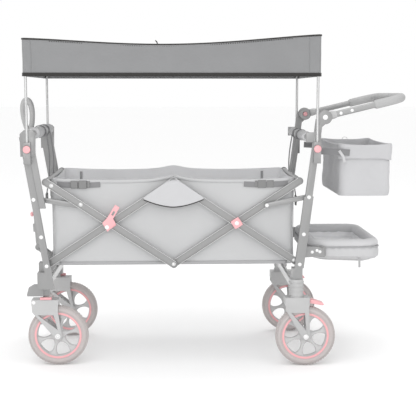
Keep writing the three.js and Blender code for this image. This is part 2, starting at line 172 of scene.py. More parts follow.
def finish(name, tree, settings, bump, depth):
    """A material with its colour and relief from a node group, its shader and the group in it."""
    made = bpy.data.materials.new(name)
    made.use_nodes = True
    nodes, links = made.node_tree.nodes, made.node_tree.links
    shader = nodes["Principled BSDF"]
    group = nodes.new("ShaderNodeGroup")
    group.node_tree = tree
    for label, value in settings.items():
        group.inputs[label].default_value = value
    relief = nodes.new("ShaderNodeBump")
    relief.inputs["Strength"].default_value = bump
    relief.inputs["Distance"].default_value = depth
    links.new(group.outputs["Color"], shader.inputs["Base Color"])
    links.new(group.outputs["Height"], relief.inputs["Height"])
    links.new(relief.outputs["Normal"], shader.inputs["Normal"])
    return made, shader, group


def moulded(name, base, roughness, metallic=0.0, drift=0.06, grain=900.0, bump=0.08, clear=0.0):
    """A plastic, rubber, foam or painted metal with slow colour drift and fine grain."""
    settings = {"Base": base, "Drift": drift, "Grain Scale": grain, "Roughness": roughness}
    made, shader, group = finish(name, surface_mottle, settings, bump, 0.0006)
    made.node_tree.links.new(group.outputs["Roughness"], shader.inputs["Roughness"])
    shader.inputs["Metallic"].default_value = metallic
    shader.inputs["Coat Weight"].default_value = clear
    return made


def box_of(node):
    """The lowest and the highest corner of a node's box."""
    low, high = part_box(node)
    return np.array(low), np.array(high)


def quads(rows, count, ring=True, loop=False):
    """Faces between rows of points: ring closes each row on itself, loop joins the last row to the first."""
    faces = []
    for i in range(rows if loop else rows - 1):
        j = (i + 1) % rows
        for k in range(count if ring else count - 1):
            n = (k + 1) % count
            faces.append((i * count + k, i * count + n, j * count + n, j * count + k))
    return faces


def ends(rows, count):
    """The two flat faces that close a stack of rows."""
    return [tuple(range(count - 1, -1, -1)), tuple(range((rows - 1) * count, rows * count))]


def block(centre, along, across, up):
    """A box given by its centre and half of each edge."""
    centre, along, across, up = [np.array(v, float) for v in (centre, along, across, up)]
    square = ((-1, -1), (1, -1), (1, 1), (-1, 1))
    corners = [centre + along * u + across * v + up * w for w in (-1, 1) for u, v in square]
    return corners, quads(2, 4) + ends(2, 4)


def merged(*shapes):
    """One (points, faces) shape from several."""
    points, faces, count = [], [], 0
    for some_points, some_faces in shapes:
        some_points = np.asarray(some_points, float).reshape(-1, 3)
        points.append(some_points)
        faces += [tuple(i + count for i in face) for face in some_faces]
        count += len(some_points)
    return np.vstack(points), faces


def round_edges(made, width):
    """Rounds the sharp edges of an object."""
    rounding = made.modifiers.new("rounding", "BEVEL")
    rounding.width = width
    rounding.segments = 2
    rounding.limit_method = "ANGLE"
    rounding.angle_limit = math.radians(40)


def piece(name, shape, material, body, bevel=0.0, smooth=True, nodes=()):
    """Makes a shape an object that rides on a body and stands for the CAD nodes given."""
    points, faces = shape
    mesh = bpy.data.meshes.new(name)
    mesh.from_pydata([tuple(p) for p in points], [], faces)
    work = bmesh.new()
    work.from_mesh(mesh)
    bmesh.ops.remove_doubles(work, verts=work.verts, dist=1e-6)
    bmesh.ops.recalc_face_normals(work, faces=work.faces)
    work.to_mesh(mesh)
    work.free()
    mesh.materials.append(material)
    made = bpy.data.objects.new(name, mesh)
    bpy.context.scene.collection.objects.link(made)
    if bevel:
        round_edges(made, bevel)
    if smooth:
        mesh.shade_smooth()
        mesh.set_sharp_from_angle(angle=math.radians(38))
    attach(made, body)
    if nodes:
        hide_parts(*nodes)
    return made


def turned(profile, centre, axis="y", count=64):
    """A closed ring or a solid of revolution from [radius, along] points; radius 0 closes it on the axis."""
    closed = profile[0][0] > 1e-9
    rows = []
    for radius, along in profile:
        angles = np.arange(count) * 2 * math.pi / count
        a, b = radius * np.cos(angles), radius * np.sin(angles)
        if axis == "y":
            rows.append(np.c_[a, np.full(count, along), b])
        else:
            rows.append(np.c_[a, b, np.full(count, along)])
    return np.vstack(rows) + np.array(centre), quads(len(profile), count, loop=closed)


wheels = {}
for hand in ("left", "right"):
    for end in ("front", "rear"):
        low, high = box_of(f"{end}_tyre_{hand}")
        wheels[f"{end}_wheel_{hand}"] = (low + high) / 2
tyre_low, tyre_high = box_of("front_tyre_left")
wheel_radius = tyre_high[2] / 2
tyre_half = (tyre_high[1] - tyre_low[1]) / 2
tyre_rubber = moulded("grey_rubber", shown(0.72, 0.695, 0.69), 0.82, drift=0.1, grain=1400, bump=0.25)


def tyre_section():
    """Half-round tyre with three shallow tread grooves and a step where the sidewall starts."""
    section = []
    for i in range(25):
        t = -1 + i / 12
        fall = 0.009 * abs(t) ** 2.6
        groove = 0.0016 if i in (6, 12, 18) else 0.0
        section.append((wheel_radius - fall - groove, t * (tyre_half - 0.003)))
    outer = [(wheel_radius - 0.0125, tyre_half - 0.0008), (wheel_radius - 0.0165, tyre_half),
             (wheel_radius - 0.0185, tyre_half - 0.002), (wheel_radius - 0.0255, tyre_half - 0.004)]
    left = [(r, -a) for r, a in reversed(outer)]
    return left + section + outer


for body, hub in wheels.items():
    name = body.replace("wheel", "tyre")
    piece(name + "_rubber", turned(tyre_section(), hub, count=96), tyre_rubber, body, nodes=[name])
    blocks = []
    for i in range(60):
        angle = 2 * math.pi * (i + 0.5) / 60
        out = np.array([math.cos(angle), 0, math.sin(angle)])
        along = np.array([-math.sin(angle), 0, math.cos(angle)])
        for across in (-0.0125, 0.0125):
            centre = hub + out * (wheel_radius - 0.0039) + np.array([0, across, 0])
            blocks.append(block(centre, along * 0.0036, (0, 0.0038, 0), out * 0.0021))
    piece(name + "_tread", merged(*blocks), tyre_rubber, body, smooth=False)


# ---- Rims and coral rings ----
# Each rim is a pale moulded wheel with six flared spokes and a deep hub around the axle.
# A coral trim ring is clipped on where the rim meets the tyre, and a steel rivet head closes the axle.
pale_plastic = moulded("pale_plastic", grey(0.735), 0.48, drift=0.07, grain=700, bump=0.12)
coral = moulded("coral_plastic", shown(0.90, 0.66, 0.675), 0.38, drift=0.06, grain=800, bump=0.05,
                clear=0.15)
white_steel = moulded("rivet_steel", grey(0.90), 0.3, metallic=0.35, drift=0.05, grain=300, bump=0.03)


def spokes(hub, count, inner, outer, half, waist, flare):
    """Curved spokes that are narrow in the middle and flare where they run into the hub and the rim."""
    section = [(-1, -0.55), (-0.6, -1), (0.6, -1), (1, -0.55), (1, 0.55), (0.6, 1), (-0.6, 1), (-1, 0.55)]
    shapes = []
    for s in range(count):
        turn = 2 * math.pi * s / count + 0.26
        rings = []
        for i in range(9):
            t = i / 8
            radius = inner + (outer - inner) * t
            wide = waist + flare * (abs(2 * t - 0.9) ** 2.4)
            deep = half * (0.78 + 0.22 * abs(2 * t - 1))
            for u, v in section:
                x, z = radius, u * wide
                rings.append((x * math.cos(turn) - z * math.sin(turn), v * deep,
                              x * math.sin(turn) + z * math.cos(turn)))
        shapes.append((np.array(rings) + hub, quads(9, 8) + ends(9, 8)))
    return merged(*shapes)


rim_radius = wheel_radius - 0.0252
for body, hub in wheels.items():
    name = body.replace("wheel", "rim")
    barrel = [(rim_radius, -0.0135), (rim_radius, 0.0135), (rim_radius - 0.003, 0.0145),
              (rim_radius - 0.009, 0.0135), (rim_radius - 0.0105, 0.008), (rim_radius - 0.0105, -0.008),
              (rim_radius - 0.009, -0.0135), (rim_radius - 0.003, -0.0145)]
    bore = 0.0068
    boss = [(bore, -0.0185), (0.0135, -0.0185), (0.0155, -0.017), (0.0185, -0.011), (0.0225, -0.008),
            (0.0225, 0.008), (0.0185, 0.011), (0.0155, 0.017), (0.0135, 0.0185), (bore, 0.0185)]
    parts = merged(turned(barrel, hub, count=80), turned(boss, hub, count=48),
                   spokes(hub, 6, 0.0205, rim_radius - 0.0095, 0.0085, 0.0052, 0.0125))
    piece(name + "_moulding", parts, pale_plastic, body, bevel=0.0007, nodes=[name])
    ring = [(rim_radius + 0.0005, 0.0145), (rim_radius - 0.0005, 0.0168), (rim_radius - 0.004, 0.0175),
            (rim_radius - 0.0072, 0.0165), (rim_radius - 0.0078, 0.0142)]
    other = [(r, -a) for r, a in ring]
    piece(name + "_trim_ring", merged(turned(ring, hub, count=80), turned(other, hub, count=80)), coral,
          body)


# ---- Rivets ----
# Dome-headed steel rivets hold the bars, links and wheels; each head is a low dome with a rolled edge.
# One small tool sets a head at every place listed, and the heads of one moving part become one mesh.
def head_tree():
    """Geometry Nodes: sets one dome head on every point, turned to its stored facing."""
    tree = bpy.data.node_groups.new("rivet_heads", "GeometryNodeTree")
    tree.interface.new_socket(name="Geometry", in_out="INPUT", socket_type="NodeSocketGeometry")
    radius = tree.interface.new_socket(name="Head Radius", in_out="INPUT", socket_type="NodeSocketFloat")
    radius.default_value = 0.006
    height = tree.interface.new_socket(name="Head Height", in_out="INPUT", socket_type="NodeSocketFloat")
    height.default_value = 0.0022
    tree.interface.new_socket(name="Material", in_out="INPUT", socket_type="NodeSocketMaterial")
    tree.interface.new_socket(name="Geometry", in_out="OUTPUT", socket_type="NodeSocketGeometry")
    nodes, links = tree.nodes, tree.links
    given, out = nodes.new("NodeGroupInput"), nodes.new("NodeGroupOutput")
    dome = nodes.new("GeometryNodeMeshUVSphere")
    dome.inputs["Segments"].default_value = 20
    dome.inputs["Rings"].default_value = 8
    dome.inputs["Radius"].default_value = 1.0
    collar = nodes.new("GeometryNodeMeshCylinder")
    collar.inputs["Vertices"].default_value = 20
    collar.inputs["Radius"].default_value = 1.16
    collar.inputs["Depth"].default_value = 0.5
    joined = nodes.new("GeometryNodeJoinGeometry")
    links.new(dome.outputs["Mesh"], joined.inputs["Geometry"])
    links.new(collar.outputs["Mesh"], joined.inputs["Geometry"])
    size = nodes.new("ShaderNodeCombineXYZ")
    links.new(given.outputs["Head Radius"], size.inputs["X"])
    links.new(given.outputs["Head Radius"], size.inputs["Y"])
    links.new(given.outputs["Head Height"], size.inputs["Z"])
    facing = nodes.new("GeometryNodeInputNamedAttribute")
    facing.data_type = "FLOAT_VECTOR"
    facing.inputs["Name"].default_value = "facing"
    aim = nodes.new("FunctionNodeAlignEulerToVector")
    aim.axis = "Z"
    links.new(facing.outputs["Attribute"], aim.inputs["Vector"])
    setter = nodes.new("GeometryNodeInstanceOnPoints")
    links.new(given.outputs["Geometry"], setter.inputs["Points"])
    links.new(joined.outputs["Geometry"], setter.inputs["Instance"])
    links.new(aim.outputs["Rotation"], setter.inputs["Rotation"])
    links.new(size.outputs["Vector"], setter.inputs["Scale"])
    real = nodes.new("GeometryNodeRealizeInstances")
    links.new(setter.outputs["Instances"], real.inputs["Geometry"])
    paint = nodes.new("GeometryNodeSetMaterial")
    links.new(real.outputs["Geometry"], paint.inputs["Geometry"])
    links.new(given.outputs["Material"], paint.inputs["Material"])
    links.new(paint.outputs["Geometry"], out.inputs["Geometry"])
    return tree


rivet_heads = head_tree()


def set_heads(name, places, body, radius=0.006, height=0.0022):
    """Steel heads at (place, facing) pairs, as one mesh on the body."""
    mesh = bpy.data.meshes.new(name + "_seats")
    mesh.from_pydata([tuple(p) for p, f in places], [], [])
    facing = mesh.attributes.new("facing", "FLOAT_VECTOR", "POINT")
    for i, (p, f) in enumerate(places):
        facing.data[i].vector = f
    seats = bpy.data.objects.new(name + "_seats", mesh)
    bpy.context.scene.collection.objects.link(seats)
    step = seats.modifiers.new("heads", "NODES")
    step.node_group = rivet_heads
    given = {"Head Radius": radius, "Head Height": height, "Material": white_steel}
    for item in rivet_heads.interface.items_tree:
        if item.in_out == "INPUT" and item.name in given:
            step[item.identifier] = given[item.name]
    graph = bpy.context.evaluated_depsgraph_get()
    done = bpy.data.meshes.new_from_object(seats.evaluated_get(graph))
    bpy.data.objects.remove(seats)
    done.name = name
    if not done.materials:
        done.materials.append(white_steel)
    done.shade_smooth()
    done.set_sharp_from_angle(angle=math.radians(50))
    made = bpy.data.objects.new(name, done)
    bpy.context.scene.collection.objects.link(made)
    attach(made, body)
    return made


for body, hub in wheels.items():
    end = 0.0285 if body.startswith("front") else 0.029
    places = [(hub + np.array([0, s * end, 0]), (0, s, 0)) for s in (-1, 1)]
    owner = body.replace("front_wheel", "caster") if body.startswith("front") else "rear_frame"
    set_heads(body + "_axle_ends", places, owner, radius=0.0085, height=0.003)


# ---- Side bars ----
# Flat aluminium channels, two crossed pairs on each side, powder-coated grey and open towards the middle.
# They turn on rivets where they cross and where their ends meet; a lighter strip along each lip of the
# channel is a painted highlight.
frame_paint = moulded("frame_paint", grey(0.575), 0.36, metallic=0.35, drift=0.05, grain=1500, bump=0.04)
# Lip paint: a lighter copy of the frame paint, used as a painted highlight along the channel lips.
lip_paint = moulded("lip_paint", grey(0.80), 0.34, metallic=0.35, drift=0.04, grain=1500, bump=0.03)


def strip(start, end, half, thick, lip, lip_depth, y_in, facing):
    """A channel from start to end in a side plane: a web, and two lips that stand out on the facing side."""
    start, end = np.array(start), np.array(end)
    along = (end - start) / np.linalg.norm(end - start)
    across = np.array([-along[2], 0, along[0]])
    out = np.array([0, facing, 0])
    steps = 14
    outline, inner = [], []
    for centre, first in ((start, 0.5), (end, -0.5)):
        for i in range(steps + 1):
            angle = math.pi * (first + i / steps)
            ray = along * math.cos(angle) + across * math.sin(angle)
            outline.append(centre + half * ray)
            inner.append(centre + (half - lip) * ray)
    count = len(outline)
    base = np.array([0, y_in, 0])
    rings = [[p + base for p in outline], [p + base + out * lip_depth for p in outline],
             [p + base + out * lip_depth for p in inner], [p + base + out * thick for p in inner]]
    return np.vstack([np.array(r) for r in rings]), quads(4, count) + ends(4, count)


def at(name):
    """The x and z of a joint's pivot."""
    return np.array([joint_place[name][0], joint_place[name][2]])


low_front, low_middle, low_rear = at("fold"), at("middle_joint"), at("rear_pivot")
front_cross, rear_cross = at("front_crossing"), at("rear_crossing")
high_middle = 2 * front_cross - low_front
high_front = 2 * front_cross - low_middle
high_rear = 2 * rear_cross - low_middle
hands = (("left", -1), ("right", 1))
bar_half, bar_depth = 0.0138, 0.0088
lip_width, web_thickness = 0.0021, 0.0022
bar_ends = {
    "front_lower_bar": (low_front, high_middle), "front_upper_bar": (high_front, low_middle),
    "rear_upper_bar": (low_middle, high_rear), "rear_lower_bar": (high_middle, low_rear),
}
for hand, side in hands:
    for kind, (start, end) in bar_ends.items():
        node = f"{kind}_{hand}"
        low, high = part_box(node)
        layer = 0.245 if kind in ("front_upper_bar", "rear_lower_bar") else 0.234
        a, b = (start[0], 0, start[1]), (end[0], 0, end[1])
        shape = strip(a, b, bar_half, web_thickness, lip_width, bar_depth, side * layer, side)
        piece(node + "_channel", shape, frame_paint, kind + "s", bevel=0.0005, nodes=[node])
        # Thin lighter strips on both lips of the channel: a painted highlight where the lip edges catch the
        # light.
        lips = []
        direction = np.array([b[0] - a[0], 0, b[2] - a[2]])
        direction /= np.linalg.norm(direction)
        across = np.array([-direction[2], 0, direction[0]])
        for edge in (-1, 1):
            centre = across * edge * (bar_half - lip_width / 2)
            centre += np.array([0, side * (layer + bar_depth - 0.0001), 0])
            lips.append(strip(np.array(a) + centre, np.array(b) + centre, 0.0008, 0.0004, 0.0003, 0.0006, 0,
                              side))
        piece(node + "_bright_lips", merged(*lips), lip_paint, kind + "s")


# ---- Posts, links and the fold latch ----
# The posts are bent steel straps, painted like the bars; the short links tie them to the bars.
# The latch is a flat plate on the left side whose slot drops over a rivet and holds the wagon open.
def smooth_tree():
    """Geometry Nodes: smooth faces with every edge sharper than the limit kept crisp."""
    tree = bpy.data.node_groups.new("smooth_by_edge", "GeometryNodeTree")
    tree.interface.new_socket(name="Geometry", in_out="INPUT", socket_type="NodeSocketGeometry")
    limit = tree.interface.new_socket(name="Crisp Above", in_out="INPUT", socket_type="NodeSocketFloat")
    limit.default_value = math.radians(38)
    tree.interface.new_socket(name="Geometry", in_out="OUTPUT", socket_type="NodeSocketGeometry")
    nodes, links = tree.nodes, tree.links
    given, out = nodes.new("NodeGroupInput"), nodes.new("NodeGroupOutput")
    angle = nodes.new("GeometryNodeInputMeshEdgeAngle")
    calm = nodes.new("FunctionNodeCompare")
    calm.operation = "LESS_EQUAL"
    faces = nodes.new("GeometryNodeSetShadeSmooth")
    edges = nodes.new("GeometryNodeSetShadeSmooth")
    edges.domain = "EDGE"
    links.new(angle.outputs["Unsigned Angle"], calm.inputs[0])
    links.new(given.outputs["Crisp Above"], calm.inputs[1])
    links.new(given.outputs["Geometry"], faces.inputs["Geometry"])
    links.new(faces.outputs["Geometry"], edges.inputs["Geometry"])
    links.new(calm.outputs["Result"], edges.inputs["Shade Smooth"])
    links.new(edges.outputs["Geometry"], out.inputs["Geometry"])
    return tree


smooth_by_edge = smooth_tree()


def dress(node, material, bevel=0.0008):
    """Gives a carried-over piece its material, rounded edges and smooth round faces."""
    made = bpy.data.objects[node]
    made.data.materials.clear()
    made.data.materials.append(material)
    weld = made.modifiers.new("weld", "WELD")
    weld.merge_threshold = 0.00002
    if bevel:
        round_edges(made, bevel)
    smooth = made.modifiers.new("smooth", "NODES")
    smooth.node_group = smooth_by_edge
    return made


post_paint = moulded("post_paint", grey(0.575), 0.36, metallic=0.3, drift=0.05, grain=1500, bump=0.04)
silver = moulded("silver_bar", grey(0.76), 0.28, metallic=0.6, drift=0.05, grain=1800, bump=0.03)
for hand, side in hands:
    for end in ("front", "rear"):
        dress(f"{end}_post_{hand}", post_paint, bevel=0.0014)
        dress(f"{end}_link_{hand}", frame_paint, bevel=0.001)
dress("fold_latch", coral, bevel=0.0009)


# ---- Canopy roof ----
# One piece of grey oxford cloth, hung over the two hoops: a sagging roof with a deep valance all round.
# The top edge is piped in black, the hem is bound in black tape, and a zip along the near top edge opens it.
def weave_group():
    """Plain weave: over-and-under threads as height, with slubs and faded patches in the colour."""
    tree, given, out = group_tree(
        "plain_weave",
        (("Base", (0.5, 0.5, 0.5, 1)), ("Threads", 900.0), ("Fade", 0.05), ("Creases", 0.5)),
        ("Color", "Height"))
    nodes, links = tree.nodes, tree.links
    place = nodes.new("ShaderNodeTexCoord")
    threads = []
    for axis in ("X", "Y", "Z"):
        wave = nodes.new("ShaderNodeTexWave")
        wave.bands_direction = axis
        wave.inputs["Distortion"].default_value = 0.6
        wave.inputs["Detail"].default_value = 1.0
        links.new(place.outputs["Object"], wave.inputs["Vector"])
        links.new(given.outputs["Threads"], wave.inputs["Scale"])
        threads.append(wave.outputs["Fac"])
    folds = nodes.new("ShaderNodeTexNoise")
    for label, value in (("Scale", 7.0), ("Detail", 5.0), ("Roughness", 0.55), ("Distortion", 0.8)):
        folds.inputs[label].default_value = value
    links.new(place.outputs["Object"], folds.inputs["Vector"])
    woven_height = figured(tree, "ADD", figured(tree, "ADD", threads[0], threads[1]), threads[2])
    crease = figured(tree, "MULTIPLY", folds.outputs["Fac"], given.outputs["Creases"])
    links.new(figured(tree, "MULTIPLY_ADD", woven_height, 0.06, crease), out.inputs["Height"])
    swing = figured(tree, "SUBTRACT", folds.outputs["Fac"], 0.5)
    patches = figured(tree, "MULTIPLY", swing, given.outputs["Fade"])
    tinted(tree, given.outputs["Base"], figured(tree, "MULTIPLY_ADD", patches, 2.4, 1.0), out)
    return tree


plain_weave = weave_group()


def woven(name, base, threads=420.0, fade=0.05, creases=0.5, bump=0.25, sheen=0.15, roughness=0.86):
    """A cloth material whose colour and relief come from the weave group."""
    settings = {"Base": base, "Threads": threads, "Fade": fade, "Creases": creases}
    made, shader, group = finish(name, plain_weave, settings, bump, 0.004)
    shader.inputs["Roughness"].default_value = roughness
    shader.inputs["Sheen Weight"].default_value = sheen
    return made


def rounded_plan(half_x, half_y, corner, count):
    """Evenly spaced points round a rectangle with rounded corners, starting at the middle of the +x side."""
    straight_x, straight_y = half_x - corner, half_y - corner
    turns = [(straight_x, straight_y, 0.0), (-straight_x, straight_y, 0.5 * math.pi),
             (-straight_x, -straight_y, math.pi), (straight_x, -straight_y, 1.5 * math.pi)]
    fine = [(half_x, 0.0)]
    for cx, cy, first in turns:
        for i in range(13):
            angle = first + 0.5 * math.pi * i / 12
            fine.append((cx + corner * math.cos(angle), cy + corner * math.sin(angle)))
    fine.append((half_x, 0.0))
    fine = np.array(fine)
    lengths = np.r_[0, np.cumsum(np.linalg.norm(np.diff(fine, axis=0), axis=1))]
    marks = np.linspace(0, lengths[-1], count, endpoint=False)
    return np.c_[np.interp(marks, lengths, fine[:, 0]), np.interp(marks, lengths, fine[:, 1])]


def cloth_shape(points, count):
    """One sheet from rings of points, with the last ring closed straight across."""
    rings = len(points) // count
    faces = quads(rings, count)
    first = (rings - 1) * count
    for k in range(count // 2):
        across = [first + k, first + k + 1, first + count - k - 1, first + (count - k) % count]
        faces.append(tuple(dict.fromkeys(across)))
    return points, faces


def tube(path, radius, sides=10, closed=False):
    """A round cord or pipe along a path; radius may be one value or one for each point."""
    path = np.array(path, float)
    count = len(path)
    radii = np.full(count, radius) if np.isscalar(radius) else np.array(radius)
    points = []
    previous = None
    for i in range(count):
        if closed:
            tangent = path[(i + 1) % count] - path[i - 1]
        else:
            tangent = path[min(i + 1, count - 1)] - path[max(i - 1, 0)]
        tangent /= np.linalg.norm(tangent)
        if previous is None:
            helper = np.array([0, 0, 1.0]) if abs(tangent[2]) < 0.8 else np.array([0, 1.0, 0])
            previous = np.cross(helper, tangent)
        a = previous - tangent * np.dot(previous, tangent)
        a /= np.linalg.norm(a)
        b = np.cross(tangent, a)
        previous = a
        for k in range(sides):
            angle = 2 * math.pi * k / sides
            points.append(path[i] + radii[i] * (a * math.cos(angle) + b * math.sin(angle)))
    faces = quads(count, sides, loop=closed)
    if not closed:
        faces += ends(count, sides)
    return np.array(points), faces


def ribbon(path, wide, width, thick):
    """A flat strap along a path: wide gives the direction across it at each point, or one for all."""
    path = np.array(path, float)
    wide = np.array(wide, float)
    if wide.ndim == 1:
        wide = np.tile(wide, (len(path), 1))
    points = []
    for i, place in enumerate(path):
        tangent = path[min(i + 1, len(path) - 1)] - path[max(i - 1, 0)]
        tangent /= np.linalg.norm(tangent)
        across = wide[i] - tangent * np.dot(wide[i], tangent)
        across /= np.linalg.norm(across)
        normal = np.cross(tangent, across)
        for u, v in ((-1, -1), (-0.5, -1), (0.5, -1), (1, -1), (1, 1), (0.5, 1), (-0.5, 1), (-1, 1)):
            points.append(place + across * u * width / 2 + normal * v * thick / 2)
    return np.array(points), quads(len(path), 8) + ends(len(path), 8)


def thicken(made, thickness, offset=-1.0):
    """Gives a sheet the thickness of its cloth."""
    solid = made.modifiers.new("cloth_thickness", "SOLIDIFY")
    solid.thickness = thickness
    solid.offset = offset
    return made


canopy_cloth = woven("canopy_cloth", shown(0.52, 0.522, 0.526), threads=380, fade=0.06, creases=0.9,
                     bump=0.3)
black_tape = woven("black_tape", shown(0.19, 0.185, 0.18), threads=700, fade=0.05, creases=0.1, bump=0.2)
roof_low, roof_high = box_of("canopy_roof")
roof_middle = (roof_low + roof_high) / 2
roof_half = (roof_high - roof_low) / 2
hoop_rise = box_of("rear_canopy_hoop")[1][2] - box_of("front_canopy_hoop")[1][2]


def roof_top(x):
    """Height of the roof's side edge: straight at the hoops and hanging a little between them."""
    t = (x - roof_low[0]) / (2 * roof_half[0])
    hang = 0.026 * math.sin(math.pi * min(max(t, 0), 1)) ** 1.4
    return roof_high[2] + 0.0012 - hoop_rise * (1 - t) - hang


around = 280
plan = rounded_plan(roof_half[0], roof_half[1] - 0.001, 0.008, around)
points = []
downward = [1, 0.94, 0.86, 0.76, 0.65, 0.54, 0.43, 0.32, 0.22, 0.13, 0.06, 0.02, 0]
for share in downward:
    for x, y in plan:
        top = roof_top(x + roof_middle[0]) - 0.006
        z = top + (roof_low[2] + 0.001 - top) * share
        corner = (abs(x) / roof_half[0]) ** 8 * (abs(y) / roof_half[1]) ** 8
        drag = noise.noise(Vector((x * 4.2 + share * 1.6, y * 3, share * 0.9)))
        sway = 0.0036 * share * (1.35 - share) * math.sin(x * 13 + 1.3 * math.sin(x * 6) + y * 9)
        sway += 0.0075 * abs(drag) * math.sin(math.pi * min(share + 0.15, 1))
        tuck = (sway + 0.0015 * share + 0.001) * (1 - corner)
        points.append((roof_middle[0] + x * (1 - tuck / roof_half[0]), y * (1 - tuck / roof_half[1]), z))
inward = [0.996, 0.985, 0.965, 0.935, 0.89, 0.83, 0.76, 0.68, 0.59, 0.49, 0.38, 0.27, 0.16, 0.07]
for share in inward:
    for x, y in plan:
        px, py = x * (0.5 + 0.5 * share), y * share
        edge = roof_top(px + roof_middle[0])
        along = (px + roof_half[0]) / (2 * roof_half[0])
        belly = 0.012 * (1 - share ** 2) * math.sin(math.pi * along) ** 0.8
        fuss = 0.0016 * noise.noise(Vector((px * 6, py * 9, 0.4)))
        points.append((roof_middle[0] + px, py, edge - 0.0004 - belly + fuss * (1 - share)))
canopy = piece("canopy_cloth_roof", cloth_shape(points, around), canopy_cloth, "canopy_front",
               nodes=["canopy_roof"])
thicken(canopy, 0.0016)
roof_extras = []
edge_line = [(roof_middle[0] + x * 0.998, y * 0.998, roof_top(x + roof_middle[0]) - 0.0028) for x, y in plan]
hem_line = points[:around]
piping_radius = [0.0024 + 0.0012 * (abs(x) / roof_half[0]) ** 5 for x, y in plan]
roof_extras.append(piece("canopy_top_piping", tube(edge_line, piping_radius, 8, closed=True), black_tape,
                         "canopy_front"))
band = []
for level in (0.0, 0.0125):
    for k in range(around):
        x, y, z = hem_line[k]
        ox, oy = (x - roof_middle[0]) / roof_half[0], y / roof_half[1]
        out_x = math.copysign(0.0012, ox) if abs(ox) > 0.97 else 0
        out_y = math.copysign(0.0012, oy) if abs(oy) > 0.97 else 0
        band.append((x + out_x, y + out_y, z + level))
hem = piece("canopy_hem_tape", (band, quads(2, around)), black_tape, "canopy_front")
thicken(hem, 0.0022, offset=0)
roof_extras.append(hem)
zip_x = roof_middle[0] - 0.1 * roof_half[0]
zip_y, zip_z = roof_low[1] + 0.004, roof_top(zip_x)
teeth = []
for i in range(120):
    x = roof_low[0] + 0.05 + (2 * roof_half[0] - 0.1) * i / 119
    centre = (x, roof_low[1] + 0.0035, roof_top(x) - 0.0085)
    teeth.append(block(centre, (0.0018, 0, 0), (0, 0.0012, 0), (0, 0, 0.0016)))
roof_extras.append(piece("canopy_zip_teeth", merged(*teeth), black_tape, "canopy_front",
                         smooth=False))
puller = [(zip_x, zip_y + 0.003, zip_z - 0.004), (zip_x - 0.001, zip_y + 0.001, zip_z + 0.002),
          (zip_x - 0.003, zip_y, zip_z + 0.007), (zip_x - 0.008, zip_y, zip_z + 0.011)]
roof_extras.append(piece("canopy_zip_puller", ribbon(puller, (0, 1, 0), 0.006, 0.0040), black_tape,
                         "canopy_front", bevel=0.0004))
for k in range(around):
    x, y, z = hem_line[k]
    neighbour = hem_line[(k + 1) % around][0]
    for seam_x in (roof_middle[0] - roof_half[0] * 0.925, roof_middle[0] + roof_half[0] * 0.925):
        if (x - seam_x) * (neighbour - seam_x) <= 0 and abs(y) > roof_half[1] * 0.9:
            seam = []
            for level in range(len(downward)):
                px, py, pz = points[level * around + k]
                seam.append((px, py + math.copysign(0.0003, y), pz))
            tag = f"{'front' if seam_x < roof_middle[0] else 'rear'}_{'left' if y < 0 else 'right'}"
            roof_extras.append(piece(f"canopy_seam_{tag}", tube(seam, 0.0009, 6), canopy_cloth,
                                     "canopy_front"))


# ---- Canopy hoops and pole buttons ----
# Two bent steel tubes hold the roof up; their ends slide into the sockets on the posts.
# A round coral button on each socket locks the pole at its height.
for end in ("front", "rear"):
    dress(f"{end}_canopy_hoop", silver, bevel=0)
    for hand in ("left", "right"):
        dress(f"{end}_pole_button_{hand}", coral, bevel=0.0012)


# ---- Tub ----
# A deep sewn bag of pale oxford cloth hung between the posts, hemmed at the top, with a stiff floor.
# Each side has a pocket flap over the upper middle joint, edged in black, and a dark band round the bottom.
tub_cloth = woven("tub_cloth", shown(0.725, 0.727, 0.73), threads=380, fade=0.035, creases=0.8, bump=0.22)
panel_cloth = woven("panel_cloth", shown(0.74, 0.74, 0.747), threads=520, fade=0.03, creases=0.5, bump=0.2)
dark_band = woven("dark_band", shown(0.64, 0.64, 0.645), threads=700, fade=0.05, creases=0.2, bump=0.2)
tub_low, tub_high = box_of("tub_liner")
tub_middle = (tub_low + tub_high) / 2
tub_half = (tub_high - tub_low) / 2
tub_around = 320
tub_plan = rounded_plan(tub_half[0] - 0.001, tub_half[1] - 0.0005, 0.022, tub_around)
rim_height = tub_high[2] - 0.009


def tub_top(x, y):
    """Height of the tub's top edge: slack between the corners, drawn up in the middle of each side."""
    if abs(y) < tub_half[1] * 0.96:
        return rim_height - 0.012 * (1 - (y / tub_half[1]) ** 2)
    t = abs(x) / tub_half[0]
    return rim_height - 0.007 * math.sin(math.pi * min(t, 1)) + 0.009 * math.exp(-(x / 0.05) ** 2)


def tub_pull(x, y, share):
    """How far the wall is drawn in from its flat line: soft dents between the points that hold it."""
    dent = math.sin(math.pi * min(max(share, 0), 1))
    ripple = noise.noise(Vector((x * 5.5, y * 5.5, share * 2.2)))
    fine = noise.noise(Vector((x * 16 + share * 4, y * 16, share * 3 - x * 6)))
    return dent * (0.0035 + 0.0042 * ripple) + 0.0012 * fine * (0.3 + dent)


tub_points = []
floor_z = tub_low[2] + 0.0015
for share in (0.0, 0.012, 0.03, 0.06, 0.1, 0.16, 0.22, 0.3, 0.38, 0.46, 0.54, 0.62, 0.7, 0.78, 0.86, 0.92,
              0.965, 0.988, 1.0):
    for x, y in tub_plan:
        z = tub_top(x, y) + (floor_z - tub_top(x, y)) * share
        pull = max(tub_pull(x, y, share), 0.0) + 0.0006
        if share == 1.0:
            pull += 0.003
        px, py = x * (1 - pull / tub_half[0]), y * (1 - pull / tub_half[1])
        tub_points.append((tub_middle[0] + px, py, z))
for share in (0.98, 0.94, 0.87, 0.77, 0.64, 0.5, 0.35, 0.2, 0.08):
    for x, y in tub_plan:
        z = floor_z + 0.0012 * (1 - share) + 0.0007 * noise.noise(Vector((x * 7, y * 7, 3)))
        tub_points.append((tub_middle[0] + x * (0.4 + 0.6 * share), y * share, z))
tub = piece("tub_cloth_bag", cloth_shape(tub_points, tub_around), tub_cloth, "front_frame",
            nodes=["tub_liner"])
